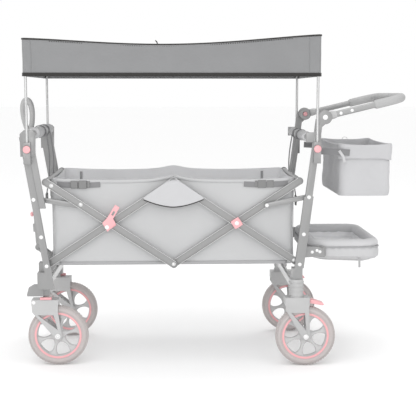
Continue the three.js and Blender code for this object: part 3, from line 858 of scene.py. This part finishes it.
# A much lighter cloth on the inner face of the bag: painted light that lifts the shade inside the tub.
lining_cloth = woven("lining_cloth", shown(0.92, 0.92, 0.925), threads=380, fade=0.035, creases=0.8,
                     bump=0.2)
tub.data.materials.append(lining_cloth)
thicken(tub, 0.0022).modifiers["cloth_thickness"].material_offset = 1
tub_extras = []


def on_wall(x, z, side, lift=0.0012):
    """A point just outside the tub's long wall, x measured from the middle of the tub."""
    rim = tub_top(x, side * tub_half[1])
    share = (rim - z) / (rim - floor_z)
    pull = max(tub_pull(x, side * tub_half[1], share), 0.0) + 0.0006
    return (tub_middle[0] + x, side * (tub_half[1] - pull + lift), z)


def wall_patch(name, side, columns, material, lift, thickness, rows=10):
    """A sewn-on patch that follows the wall: columns of (x, lowest z, highest z)."""
    points = []
    for x, low, high in columns:
        for j in range(rows + 1):
            points.append(on_wall(x, low + (high - low) * j / rows, side, lift))
    shape = (points, quads(len(columns), rows + 1, ring=False))
    made = piece(name, shape, material, "front_frame")
    thicken(made, thickness, offset=0)
    return made


def smile(x):
    """The flap's lower edge, a shallow curve that hangs in the middle."""
    return 0.602 + 0.028 * (abs(x) / 0.110) ** 1.7


flap_out = 0.0272
for hand, side in hands:
    flap, edge = [], []
    for i in range(45):
        x = -0.110 + 0.220 * i / 44
        rim = tub_top(x, side * tub_half[1])
        top = max(min(0.7 * (0.112 - abs(x)) + 0.636, rim - 0.001), smile(x) + 0.004)
        for j in range(25):
            z = smile(x) + (top - smile(x)) * j / 24
            ease = min(max((rim - z) / 0.024, 0), 1)
            crease = 0.0012 * noise.noise(Vector((x * 30, z * 30, side)))
            out = flap_out * ease * ease * (3 - 2 * ease) + crease
            wall = on_wall(x, z, side)
            flap.append((wall[0], side * (tub_half[1] + out), z))
        edge.append(flap[-25])
    shape = (flap, quads(45, 25, ring=False))
    made = piece(f"tub_pocket_flap_{hand}", shape, panel_cloth, "front_frame")
    thicken(made, 0.0014, offset=0)
    tub_extras.append(made)
    tub_extras.append(piece(f"tub_flap_piping_{hand}", tube(edge, 0.0021, 8), black_tape, "front_frame"))
    reach = tub_half[0] - 0.03
    columns = [(x, floor_z + 0.001, floor_z + 0.013) for x in np.linspace(-reach, reach, 90)]
    tub_extras.append(wall_patch(f"tub_bottom_band_{hand}", side, columns, dark_band, 0.0012, 0.0012,
                                 rows=2))
    columns = [(x, tub_top(x, side * tub_half[1]) - 0.013, tub_top(x, side * tub_half[1]) - 0.0005)
               for x in np.linspace(-tub_half[0] + 0.024, tub_half[0] - 0.024, 120)]
    tub_extras.append(wall_patch(f"tub_top_hem_{hand}", side, columns, tub_cloth, 0.0009, 0.0018, rows=2))
    for x in (-0.384, 0.372):
        columns = [(x + u, floor_z + 0.012, tub_top(x + u, side * tub_half[1]) - 0.012)
                   for u in (-0.005, 0, 0.005)]
        inner = wall_patch(f"tub_seam_tape_{hand}_{'front' if x < 0 else 'rear'}", side, columns, dark_band,
                           -0.0045, 0.0012, rows=16)
        tub_extras.append(inner)
for end in (-1, 1):
    for side in (-1, 1):
        corner = [(tub_middle[0] + end * (tub_half[0] - 0.0078), side * (tub_half[1] - 0.0078), z)
                  for z in np.linspace(floor_z + 0.01, rim_height - 0.002, 12)]
        name = f"tub_corner_seam_{'front' if end < 0 else 'rear'}_{'left' if side < 0 else 'right'}"
        tub_extras.append(piece(name, tube(corner, 0.0016, 6), dark_band, "front_frame"))


# ---- Tub straps and buckles ----
# Black webbing at each corner takes the tub's weight; it ends in a side-release buckle on the side wall.
# The webbing is sewn to the cloth, and its free tail hangs past the buckle.
webbing = woven("black_webbing", shown(0.50, 0.50, 0.505), threads=1300, fade=0.04, creases=0.15, bump=0.35)
strap_height = 0.686
buckle_height = 0.684
buckle_plastic = moulded("buckle_plastic", grey(0.47), 0.42, drift=0.05, grain=900, bump=0.06)
for hand, side in hands:
    for end, outer, near in ((-1, -0.428, -0.270), (1, 0.425, 0.261)):
        tag = f"{'front' if end < 0 else 'rear'}_{hand}"
        line = []
        for i in range(25):
            t = i / 24
            x = outer + (near - outer) * t
            z = strap_height - 0.004 * math.sin(math.pi * t) - 0.002 * t
            line.append(on_wall(x, z, side, 0.0021))
        tub_extras.append(piece(f"tub_strap_{tag}", ribbon(line, (0, 0, 1), 0.020, 0.0014), webbing,
                                "front_frame"))
        buckle_x = outer + (near - outer) * 0.52
        body_shapes = []
        for shift, length, tall, deep in ((-0.019, 0.026, 0.027, 0.0052), (0.012, 0.030, 0.030, 0.0062),
                                          (0.033, 0.010, 0.025, 0.0045)):
            cx = buckle_x - end * shift
            face = on_wall(cx, buckle_height, side, 0.0028)[1]
            limit = 0.2380 if end < 0 else 0.2336
            low_y, high_y = sorted((face, side * min(abs(face) + deep, limit)))
            centre = (tub_middle[0] + cx, (low_y + high_y) / 2, buckle_height)
            body_shapes.append(block(centre, (length / 2, 0, 0), (0, 0, tall / 2),
                                     (0, (high_y - low_y) / 2, 0)))
        tub_extras.append(piece(f"tub_buckle_{tag}", merged(*body_shapes), buckle_plastic, "front_frame",
                                bevel=0.0018))


# ---- Crossing brackets and bar rivets ----
# Coral nylon brackets sit where the bars cross, each with a steel rivet through its middle.
# The other rivets hold the links and the ends of the bars.
latch_face = box_of("fold_latch")[0][1]
latch_pin = at("latch_turn")
post_face = 0.2722
set_heads("latch_rivet", [((latch_pin[0], latch_face, latch_pin[1]), (0, -1, 0))], "fold_latch",
          radius=0.0066, height=0.0024)
for hand, side in hands:
    for end, centre, body in (("front", front_cross, "front_upper_bars"),
                              ("rear", rear_cross, "rear_lower_bars")):
        outline = []
        for i in range(24):
            angle = 2 * math.pi * i / 24
            size = 0.0172 / max(abs(math.cos(angle)), abs(math.sin(angle))) ** 0.86
            outline.append((size * math.cos(angle + 0.58), size * math.sin(angle + 0.58)))
        inner_y, outer_y = side * 0.2485, side * (0.2562 if side < 0 and end == "front" else 0.2585)
        levels = ((inner_y, 1), (outer_y - side * 0.0012, 1), (outer_y, 0.93))
        points = [(centre[0] + x * s, y, centre[1] + z * s) for y, s in levels for x, z in outline]
        shape = (points, quads(3, 24) + ends(3, 24))
        piece(f"{end}_crossing_bracket_{hand}", shape, coral, body, bevel=0.0004)
        set_heads(f"{end}_crossing_rivet_{hand}", [((centre[0], outer_y, centre[1]), (0, side, 0))], body,
                  radius=0.0068, height=0.0024)
    out_face = side * 0.2470
    link_seat = high_front + 0.27 * (low_middle - high_front)
    seats = {
        "front_upper_bars": [(high_front[0] + 0.02, high_front[1] - 0.013), low_middle, link_seat],
        "rear_lower_bars": [(low_rear[0] - 0.018, low_rear[1] + 0.012), (high_middle[0], high_middle[1])],
    }
    for body, places in seats.items():
        heads = [((x, out_face + side * 0.0006, z), (0, side, 0)) for x, z in places]
        set_heads(f"{body}_rivets_{hand}", heads, body, radius=0.0062, height=0.0045)
    for end in ("front", "rear"):
        low, high = box_of(f"{end}_link_{hand}")
        y = (low if side < 0 else high)[1]
        pivot = at(f"{end}_link_turn")
        far_x = high[0] - 0.009 if end == "front" else low[0] + 0.009
        far_z = low[2] + 0.009 if pivot[1] > (low[2] + high[2]) / 2 else high[2] - 0.009
        set_heads(f"{end}_link_rivet_{hand}", [((far_x, y, far_z), (0, side, 0))], f"{end}_links",
                  radius=0.0058, height=0.0022)
    y = side * post_face
    heads = []
    for z in (0.387, 0.495, 0.633):
        x = low_front[0] - 0.163 * (z - low_front[1]) - (0.0 if z < 0.6 else 0.002)
        heads.append(((x, y, z), (0, side, 0)))
    set_heads(f"front_post_rivets_{hand}", heads, "front_frame", radius=0.006, height=0.0022)
    heads = []
    for z in (0.387, 0.500, 0.638):
        heads.append(((low_rear[0] + 0.124 * (z - low_rear[1]), y, z), (0, side, 0)))
    set_heads(f"rear_post_rivets_{hand}", heads, "rear_frame", radius=0.006, height=0.0022)


# ---- Top rods, crossbars and lower beams ----
# Painted steel tubes run across between the posts and between the bars, capped with dark plugs.
# The lower beams are bare aluminium with a slot along the side.
for node in ("front_top_rod", "rear_top_rod", "front_upper_crossbar", "rear_upper_crossbar"):
    low, high = box_of(node)
    middle = (low + high) / 2
    radius = (high[2] - low[2]) / 2
    half = (high[1] - low[1]) / 2
    profile = [(0, -half), (radius - 0.0015, -half), (radius, -half + 0.0015), (radius, half - 0.0015),
               (radius - 0.0015, half), (0, half)]
    body = {"front_top_rod": "front_upper_bars", "rear_top_rod": "rear_upper_bars",
            "front_upper_crossbar": "front_frame", "rear_upper_crossbar": "rear_frame"}[node]
    piece(node + "_tube", turned(profile, middle, count=40), frame_paint, body, nodes=[node])
for node in ("front_lower_beam", "rear_lower_beam"):
    dress(node, silver, bevel=0.0016)


# ---- Crossbar pads and harness straps ----
# A foam roll in a stitched cloth sleeve is closed round each upper crossbar, so that a child can lean on it.
# Two harness straps loop round each pad and hang down inside the tub to a small buckle.
pad_cloth = woven("pad_cloth", shown(0.76, 0.76, 0.765), threads=520, fade=0.04, creases=0.4, bump=0.25)
for end, body in (("front", "front_frame"), ("rear", "rear_frame")):
    node = f"{end}_crossbar_pad"
    low, high = box_of(node)
    middle = (low + high) / 2
    half, thick = (high[1] - low[1]) / 2, (high[2] - low[2]) / 2
    rows, sides = 121, 40
    points = []
    for i in range(rows):
        t = -1 + 2 * i / (rows - 1)
        reach = 1 - 0.42 * max(0.0, (abs(t) - 0.94) / 0.06) ** 2.2
        tuft = 1 - 0.10 * sum(math.exp(-((t - s) / 0.016) ** 2) for s in (-0.62, -0.2, 0.2, 0.62))
        for k in range(sides):
            angle = 2 * math.pi * k / sides
            seam = 1 - 0.07 * math.exp(-((abs(angle - 1.5 * math.pi)) / 0.13) ** 2)
            ripple = 1 + 0.025 * noise.noise(Vector((math.cos(angle) * 1.5, t * 22, math.sin(angle) * 1.5)))
            r = (thick - 0.0006) * reach * min(tuft * seam * ripple, 1.0)
            points.append((middle[0] + r * math.cos(angle), middle[1] + t * half,
                           middle[2] + r * math.sin(angle)))
    shape = (points, quads(rows, sides) + ends(rows, sides))
    pad = piece(node + "_roll", shape, pad_cloth, body, nodes=[node])
    inward = 1 if end == "front" else -1
    for s in (-1, 1):
        loop = []
        for i in range(33):
            angle = 2 * math.pi * i / 32
            loop.append((middle[0] + (thick + 0.0012) * math.cos(angle), middle[1] + s * 0.052,
                         middle[2] + (thick + 0.0012) * math.sin(angle)))
        tail = []
        for i in range(22):
            t = i / 21
            tail.append((middle[0] + inward * (thick + 0.0022 + 0.012 * math.sin(math.pi * t)),
                         middle[1] + s * (0.052 + 0.018 * t), middle[2] - 0.002 - 0.235 * t))
        tag = "left" if s < 0 else "right"
        straps = merged(ribbon(loop, (0, 1, 0), 0.025, 0.0018), ribbon(tail, (0, 1, 0), 0.025, 0.0016))
        piece(f"{end}_harness_{tag}", straps, webbing, body)
        x, y, z = tail[-1]
        blocks = []
        for dz, wide, tall, deep in ((-0.012, 0.032, 0.026, 0.007), (-0.030, 0.026, 0.014, 0.005)):
            blocks.append(block((x, y, z + dz), (deep / 2, 0, 0), (0, wide / 2, 0), (0, 0, tall / 2)))
        piece(f"{end}_harness_buckle_{tag}", merged(*blocks), buckle_plastic, body, bevel=0.0018)


# ---- Rear basket ----
# A soft cloth bag hung behind the rear posts, with its top edge folded out into a deep cuff.
# Two dark webbing straps carry it from the posts, and a small loop on the far rim takes a bag.
basket_cloth = woven("basket_cloth", shown(0.735, 0.735, 0.742), threads=420, fade=0.05, creases=1.1,
                     bump=0.3)
bag_low, bag_high = box_of("basket_bag")
bag_x0 = bag_high[0] - 0.212
bag_centre = (bag_x0 + bag_high[0]) / 2
bag_half_x, bag_half_y = (bag_high[0] - bag_x0) / 2, (bag_high[1] - bag_low[1]) / 2
bag_around = 240
bag_plan = rounded_plan(bag_half_x - 0.007, bag_half_y - 0.007, 0.026, bag_around)


def bag_corner(x, y):
    """1 at the corners of the bag and 0 at the middle of a side."""
    return (abs(x) / bag_half_x) ** 3 * (abs(y) / bag_half_y) ** 3


def bag_point(x, y, share, out):
    """A point on the bag: share runs from the rim to the floor, out is how far it stands off the wall."""
    rim = bag_high[2] - 0.002 - 0.010 * (1 - bag_corner(x, y))
    z = rim + (bag_low[2] + 0.002 - rim) * share
    slack = math.sin(math.pi * min(share * 1.04, 1)) * (1 - bag_corner(x, y))
    ripple = noise.noise(Vector((x * 11, y * 11, share * 3)))
    ripple += 0.6 * noise.noise(Vector((x * 27, y * 27, share * 7)))
    inside = slack * (0.0085 + 0.0085 * ripple) + 0.005 * (max(0, share - 0.84) / 0.16) ** 2
    px, py = x * (1 + (out - inside) / bag_half_x), y * (1 + (out - inside) / bag_half_y)
    return (bag_centre + px, py, z)


bag_points = []
for share, out in ((0.26, 0.0052), (0.245, 0.0056), (0.2, 0.0058), (0.14, 0.0056), (0.08, 0.005),
                   (0.03, 0.0042), (0.008, 0.0030), (0.0, 0.0008), (0.006, -0.001), (0.03, -0.0015)):
    for x, y in bag_plan:
        wave = 1 + 0.30 * bag_corner(x, y) + 0.10 * noise.noise(Vector((x * 13, y * 13, 5)))
        bag_points.append(bag_point(x, y, share * wave, out))
for share in (0.08, 0.15, 0.23, 0.31, 0.39, 0.47, 0.55, 0.63, 0.71, 0.79, 0.86, 0.92, 0.965, 1.0):
    for x, y in bag_plan:
        bag_points.append(bag_point(x, y, share, -0.0012))
for share in (0.95, 0.88, 0.78, 0.65, 0.5, 0.34, 0.18, 0.06):
    for x, y in bag_plan:
        base = bag_point(x, y, 1.0, -0.0012)
        sag = 0.0014 * (1 - share)
        bag_points.append((bag_centre + (base[0] - bag_centre) * share, base[1] * (0.45 + 0.55 * share),
                           base[2] + 0.0015 - sag))
bag = piece("basket_cloth_bag", cloth_shape(bag_points, bag_around), basket_cloth, "rear_frame",
            nodes=["basket_bag"])
thicken(bag, 0.0016, offset=0)
piece("basket_cuff_seam", tube(bag_points[:bag_around], 0.0013, 6, closed=True),
                        basket_cloth, "rear_frame")
for side in (-1, 1):
    tag = "left" if side < 0 else "right"
    y = side * (bag_half_y - 0.0035)
    z = bag_low[2] + 0.168
    line = [(bag_low[0] + 0.001, y, z + 0.002), (bag_low[0] + 0.02, y, z + 0.001),
            (bag_x0 - 0.002, y, z - 0.001), (bag_x0 + 0.02, y + side * 0.0022, z - 0.002),
            (bag_x0 + 0.044, y + side * 0.0022, z - 0.004)]
    piece(f"basket_hanger_{tag}", ribbon(line, (0, 0, 1), 0.024, 0.0022), webbing,
                            "rear_frame")
    line = [(bag_x0 + 0.004, y + side * 0.0038, z + 0.004), (bag_x0 + 0.020, y + side * 0.004, z - 0.018),
            (bag_x0 + 0.026, y + side * 0.0035, z - 0.040)]
    piece(f"basket_strap_end_{tag}", ribbon(line, (1, 0, 0.3), 0.010, 0.0012), pad_cloth,
                            "rear_frame")
loop = []
for i in range(17):
    angle = math.pi * i / 16
    loop.append((bag_centre + 0.012 * math.cos(angle), bag_half_y - 0.006,
                 bag_high[2] - 0.016 + 0.014 * math.sin(angle)))
piece("basket_loop", ribbon(loop, (0, 1, 0), 0.006, 0.0012), basket_cloth, "rear_frame")


# ---- Foot well ----
# A padded cloth ring on a frame behind the tub, with a sunken floor where seated children put their feet.
# Gathered cloth closes it underneath, and dark piping runs round where ring and pouch are sewn.
well_low, well_high = box_of("foot_well")
well_half_y = 0.220
well_half_x = 0.141
well_centre = well_high[0] - well_half_x
ring_out = 0.021
floor_half_x, floor_half_y = well_half_x - ring_out, well_half_y - ring_out
well_around = 220
well_plan = rounded_plan(floor_half_x - 0.001, floor_half_y, 0.045, well_around)
ring_z = well_high[2] - 0.0195
ring_points = []
sides = 20
for k in range(well_around):
    x, y = well_plan[k]
    ahead, behind = well_plan[(k + 1) % well_around], well_plan[k - 1]
    tangent = (ahead - behind) / np.linalg.norm(ahead - behind)
    outward = np.array([tangent[1], -tangent[0]])
    if np.dot(outward, (x, y)) < 0:
        outward = -outward
    gather = 1 + 0.035 * noise.noise(Vector((k * 0.55, 0, 0))) + 0.02 * math.sin(k * 1.9)
    seam = 1 - 0.10 * math.exp(-(((k % (well_around // 4)) - 14) / 1.6) ** 2)
    for i in range(sides):
        angle = 2 * math.pi * i / sides
        r = (ring_out - 0.0008) * min(gather * seam, 1.0)
        flat = 0.90 if math.sin(angle) < 0 else 0.93
        ring_points.append((well_centre + x + outward[0] * r * math.cos(angle),
                            y + outward[1] * r * math.cos(angle), ring_z + r * flat * math.sin(angle)))
ring_shape = (ring_points, quads(well_around, sides, loop=True))
well_ring = piece("foot_well_padded_ring", ring_shape, pad_cloth, "foot_well",
                  nodes=["foot_well"])
inner_points = []
floor_height = well_low[2] + 0.041
for share in (0.0, 0.15, 0.35, 0.6, 0.82, 0.95, 1.0):
    for k, (x, y) in enumerate(well_plan):
        pleat = 0.0042 * math.sin(k * 0.62 + math.sin(k * 0.23)) * math.sin(math.pi * min(share + 0.2, 1))
        inset = 0.006 + 0.012 * share + pleat
        z = ring_z - 0.004 + (floor_height - ring_z + 0.004) * share
        inner_points.append((well_centre + x * (1 - inset / floor_half_x), y * (1 - inset / floor_half_y),
                             z))
for share in (0.9, 0.75, 0.55, 0.35, 0.15):
    for x, y in well_plan:
        z = floor_height + 0.0012 * noise.noise(Vector((x * 12, y * 12, 1)))
        inner_points.append((well_centre + x * 0.85 * share, y * 0.91 * share, z))
well_cloth = woven("well_cloth", shown(0.74, 0.74, 0.745), threads=420, fade=0.06, creases=1.1, bump=0.3)
recess = piece("foot_well_recess_cloth", cloth_shape(inner_points, well_around), panel_cloth, "foot_well")
# One face of the recess cloth gets the much lighter lining: painted light that lifts the shade in the foot
# well.
recess.data.materials.append(lining_cloth)
thicken(recess, 0.0014, offset=0).modifiers["cloth_thickness"].material_offset = 1
pouch_points = []
for share in (0.0, 0.1, 0.25, 0.42, 0.6, 0.76, 0.88, 0.96, 1.0):
    for k, (x, y) in enumerate(well_plan):
        crowd = 0.0022 * math.sin(k * 1.35 + 0.6 * math.sin(k * 0.31)) * (1 - share) ** 0.7
        belly = 0.012 * math.sin(math.pi * min(share + 0.12, 1))
        round_off = 0.034 * max(0, share - 0.72) / 0.28
        rear_drop = 0.5 * (1 + x / well_half_x)
        out = min(0.010 + belly + crowd - round_off, 0.0195)
        bottom = well_low[2] + 0.0015 + 0.010 * (1 - rear_drop)
        z = ring_z - 0.010 + (bottom - ring_z + 0.010) * share
        pouch_points.append((well_centre + x * (1 + out / floor_half_x), y * (1 + out / floor_half_y), z))
pouch_edge = pouch_points[-well_around:]
for share in (0.88, 0.68, 0.46, 0.22):
    for base in pouch_edge:
        pouch_points.append((well_centre + (base[0] - well_centre) * share, base[1] * share,
                             base[2] + 0.0006))
pouch = piece("foot_well_pouch_cloth", cloth_shape(pouch_points, well_around), well_cloth, "foot_well")
thicken(pouch, 0.0014, offset=0)
welt = pouch_points[6 * well_around:7 * well_around]
ring_welt = []
for x, y in well_plan:
    ring_welt.append((well_centre + x * (1 + 0.0192 / floor_half_x), y * (1 + 0.0192 / floor_half_y),
                      ring_z - 0.0115))
pull_tag = [(well_centre + 0.056, -0.212, well_low[2] + 0.030),
            (well_centre + 0.057, -0.2165, well_low[2] + 0.016),
            (well_centre + 0.0575, -0.217, well_low[2] + 0.002),
            (well_centre + 0.058, -0.217, well_low[2] - 0.014)]
well_extras = [
    piece("foot_well_lower_piping", tube(welt, 0.0020, 6, closed=True), dark_band, "foot_well"),
    piece("foot_well_ring_piping", tube(ring_welt, 0.0020, 6, closed=True), dark_band, "foot_well"),
    piece("foot_well_zip_puller", ribbon(pull_tag, (1, 0, 0), 0.008, 0.0018), dark_band, "foot_well"),
]
hinge_x, hinge_z = at("foot_well_fold")
for hand, side in hands:
    outline = [(-0.012, -0.020), (0.052, -0.026), (0.058, -0.018), (0.056, 0.012), (0.044, 0.018),
               (-0.004, 0.017), (-0.014, 0.010)]
    y_in, y_out = side * 0.2212, side * 0.2252
    points = [(hinge_x + x, y, hinge_z + z) for y in (y_in, y_out) for x, z in outline]
    shape = (points, quads(2, 7) + ends(2, 7))
    piece(f"foot_well_bracket_{hand}", shape, frame_paint, "foot_well", bevel=0.0009)
    heads = []
    for x, z in ((0.000, 0.000), (0.018, 0.006), (0.029, 0.001)):
        heads.append(((hinge_x + x, side * 0.2582, hinge_z + z), (0, side, 0)))
    set_heads(f"foot_well_rivets_{hand}", heads, "rear_frame", radius=0.0050, height=0.002)


# ---- Caster forks, rear forks, swivel locks and brakes ----
# Each wheel runs in a moulded nylon fork; the front forks swivel and have a coral lock slide.
# The rear forks carry a spring housing and a coral pedal that pins the wheel.
crown_plastic = moulded("crown_plastic", grey(0.715), 0.45, drift=0.06, grain=700, bump=0.1)
housing_plastic = moulded("housing_plastic", grey(0.69), 0.42, drift=0.06, grain=700, bump=0.08)
for hand, side in hands:
    dress(f"caster_fork_{hand}", crown_plastic, bevel=0.0028)
    dress(f"rear_fork_{hand}", housing_plastic, bevel=0.0024)
    dress(f"swivel_lock_{hand}", coral, bevel=0.0022)
    dress(f"brake_pedal_{hand}", coral, bevel=0.0030)
    dress(f"push_lock_button_{hand}", coral, bevel=0.0009)
    low, high = box_of(f"caster_fork_{hand}")
    y = (low if side < 0 else high)[1]
    set_heads(f"caster_crown_rivet_{hand}", [((low[0] + 0.009, side * 0.2372, 0.243), (0, side, 0))],
              f"caster_{hand}", radius=0.006, height=0.0022)
    low, high = box_of(f"rear_fork_{hand}")
    spring_x = low[0] + 0.044
    middle_y = (low[1] + high[1]) / 2
    rings = []
    r = 0.0268
    for z in (0.270, 0.286, 0.302, 0.318):
        circle = [(spring_x + r * math.cos(2 * math.pi * i / 40),
                   middle_y + r * math.sin(2 * math.pi * i / 40), z) for i in range(40)]
        rings.append(tube(circle, 0.0022, 6, closed=True))
    piece(f"rear_housing_ribs_{hand}", merged(*rings), housing_plastic, "rear_frame")


# ---- Pull handle ----
# A telescoping steel stem hinged at the front, with a moulded teardrop loop and a push button.
# Its bracket is bolted to the front beam.
stem_base = at("pull_swing")
grip_low, grip_high = box_of("pull_grip")
stem_lean = math.atan2(stem_base[0] - (grip_low[0] + grip_high[0]) / 2,
                       (grip_low[2] + grip_high[2]) / 2 - stem_base[1])
stem_line = np.array([-math.sin(stem_lean), 0, math.cos(stem_lean)])
stem_front = np.array([-math.cos(stem_lean), 0, -math.sin(stem_lean)])


def on_stem(along, across=0.0, front=0.0):
    """A point on the stem, or beside it, at a distance along from its hinge."""
    start = np.array([stem_base[0], 0, stem_base[1]])
    return start + stem_line * along + np.array([0, across, 0]) + stem_front * front


grip_plastic = moulded("grip_plastic", grey(0.66), 0.5, drift=0.06, grain=1100, bump=0.2)
handle_paint = moulded("handle_paint", grey(0.61), 0.38, metallic=0.25, drift=0.05, grain=1500, bump=0.04)
dress("pull_handle_bracket", post_paint, bevel=0.0012)
dress("pull_lower_tube", handle_paint, bevel=0.0009)
dress("pull_upper_tube", silver, bevel=0)
dress("pull_lock_button", coral, bevel=0.0008)
loop_path, loop_radius = [], []
for i in range(72):
    t = 2 * math.pi * i / 72
    across = 0.0215 * math.sin(t) * (0.80 - 0.20 * math.cos(t))
    along = 0.5165 - 0.0605 * math.cos(t)
    loop_path.append(on_stem(along, 0, across))
    loop_radius.append(0.0098 + 0.0018 * math.sin(t / 2) ** 4)
neck_path = [on_stem(along) for along in (0.4285, 0.434, 0.442, 0.450, 0.457, 0.464)]
neck_radius = [0.0118, 0.0126, 0.0122, 0.0112, 0.0106, 0.0098]
grip_shape = merged(tube(loop_path, loop_radius, 18, closed=True), tube(neck_path, neck_radius, 24))
piece("pull_grip_loop", grip_shape, grip_plastic, "pull_top", bevel=0.0006, nodes=["pull_grip"])


# ---- Push handle ----
# A bent steel tube tilts between two round clutches and has a foam sleeve over its far end.
# Coral buttons on the inside of the clutches release the tilt.
push_x, push_z = at("push_tilt")
push_tilt = math.radians(13.5)
push_line = np.array([math.cos(push_tilt), 0, math.sin(push_tilt)])
foam = moulded("foam_sleeve", grey(0.67), 0.92, drift=0.08, grain=2600, bump=0.45)
clutch_plastic = moulded("clutch_plastic", grey(0.70), 0.42, drift=0.06, grain=800, bump=0.08)


def on_push(along, across):
    """A point in the push handle's own plane."""
    return np.array([push_x, across, push_z]) + push_line * along


def push_path(first, spacing=0.004):
    """The centre line of the push bar, from first along one arm, round both bends and back."""
    arm, reach, bend = 0.2435, 0.305, 0.062
    flat = [(a, -arm) for a in np.arange(first, reach - bend, spacing)]
    flat += [(reach - bend + bend * math.sin(a), -arm + bend - bend * math.cos(a))
             for a in np.linspace(0, math.pi / 2, 22)]
    flat += [(reach, y) for y in np.linspace(-arm + bend + spacing, arm - bend - spacing, 60)]
    flat += [(reach - bend + bend * math.sin(a), arm - bend + bend * math.cos(a))
             for a in np.linspace(math.pi / 2, 0, 22)]
    flat += [(a, arm) for a in np.arange(first, reach - bend, spacing)[::-1]]
    return [on_push(a, y) for a, y in flat]


bar_path = push_path(0.018)
discs = []
for side in (-1, 1):
    y_in, y_out = side * 0.2362, side * 0.2552
    step = side * 0.002
    profile = [(0.0102, y_in + side * 0.006), (0.0102, y_in), (0.0225, y_in), (0.0248, y_in + step),
               (0.0248, y_out - step), (0.0228, y_out), (0.0150, y_out), (0.0145, y_out - side * 0.0012)]
    discs.append(turned(profile, (push_x, 0, push_z), count=56))
piece("push_handle_bar", merged(tube(bar_path, 0.0114, 20), *discs), handle_paint, "push_handle",
      bevel=0.0005, nodes=["push_handle"])
foam_path = push_path(0.190, spacing=0.003)
foam_length = len(foam_path)
foam_radius = []
for i in range(foam_length):
    edge = min(i, foam_length - 1 - i)
    foam_radius.append(0.0163 * min(1.0, 0.80 + 0.09 * edge))
foam_sleeve = piece("push_handle_foam", tube(foam_path, foam_radius, 28), foam, "push_handle",
                    nodes=["push_handle_grip"])
caps = [((push_x, side * 0.2545, push_z), (0, side, 0)) for side in (-1, 1)]
arm_heads = [(on_push(along, side * 0.2546), (0, side, 0)) for side in (-1, 1) for along in (0.062, 0.104)]
set_heads("push_clutch_rivets", caps, "push_handle", radius=0.0095, height=0.0032)
disc_heads = [((push_x, side * post_face, push_z), (0, side, 0)) for side in (-1, 1)]
set_heads("push_pivot_rivets", disc_heads, "rear_frame", radius=0.0080, height=0.0030)
set_heads("push_arm_rivets", arm_heads, "push_handle", radius=0.0052, height=0.0024)
cuffs = []
for side in (-1, 1):
    line = [on_push(a, side * 0.2435) for a in (0.0215, 0.030, 0.038, 0.046)]
    cuffs.append(tube(line, [0.0150, 0.0152, 0.0146, 0.0128], 24))
piece("push_handle_cuffs", merged(*cuffs), clutch_plastic, "push_handle", bevel=0.0008)


# ---- Soft pieces with meshes of their own ----
# The tub, the roof and the pieces sewn on them are each given a copy of their mesh.
bpy.context.view_layer.update()
for made in (tub, *tub_extras):
    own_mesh(made)
for made in (canopy, *roof_extras):
    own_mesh(made)
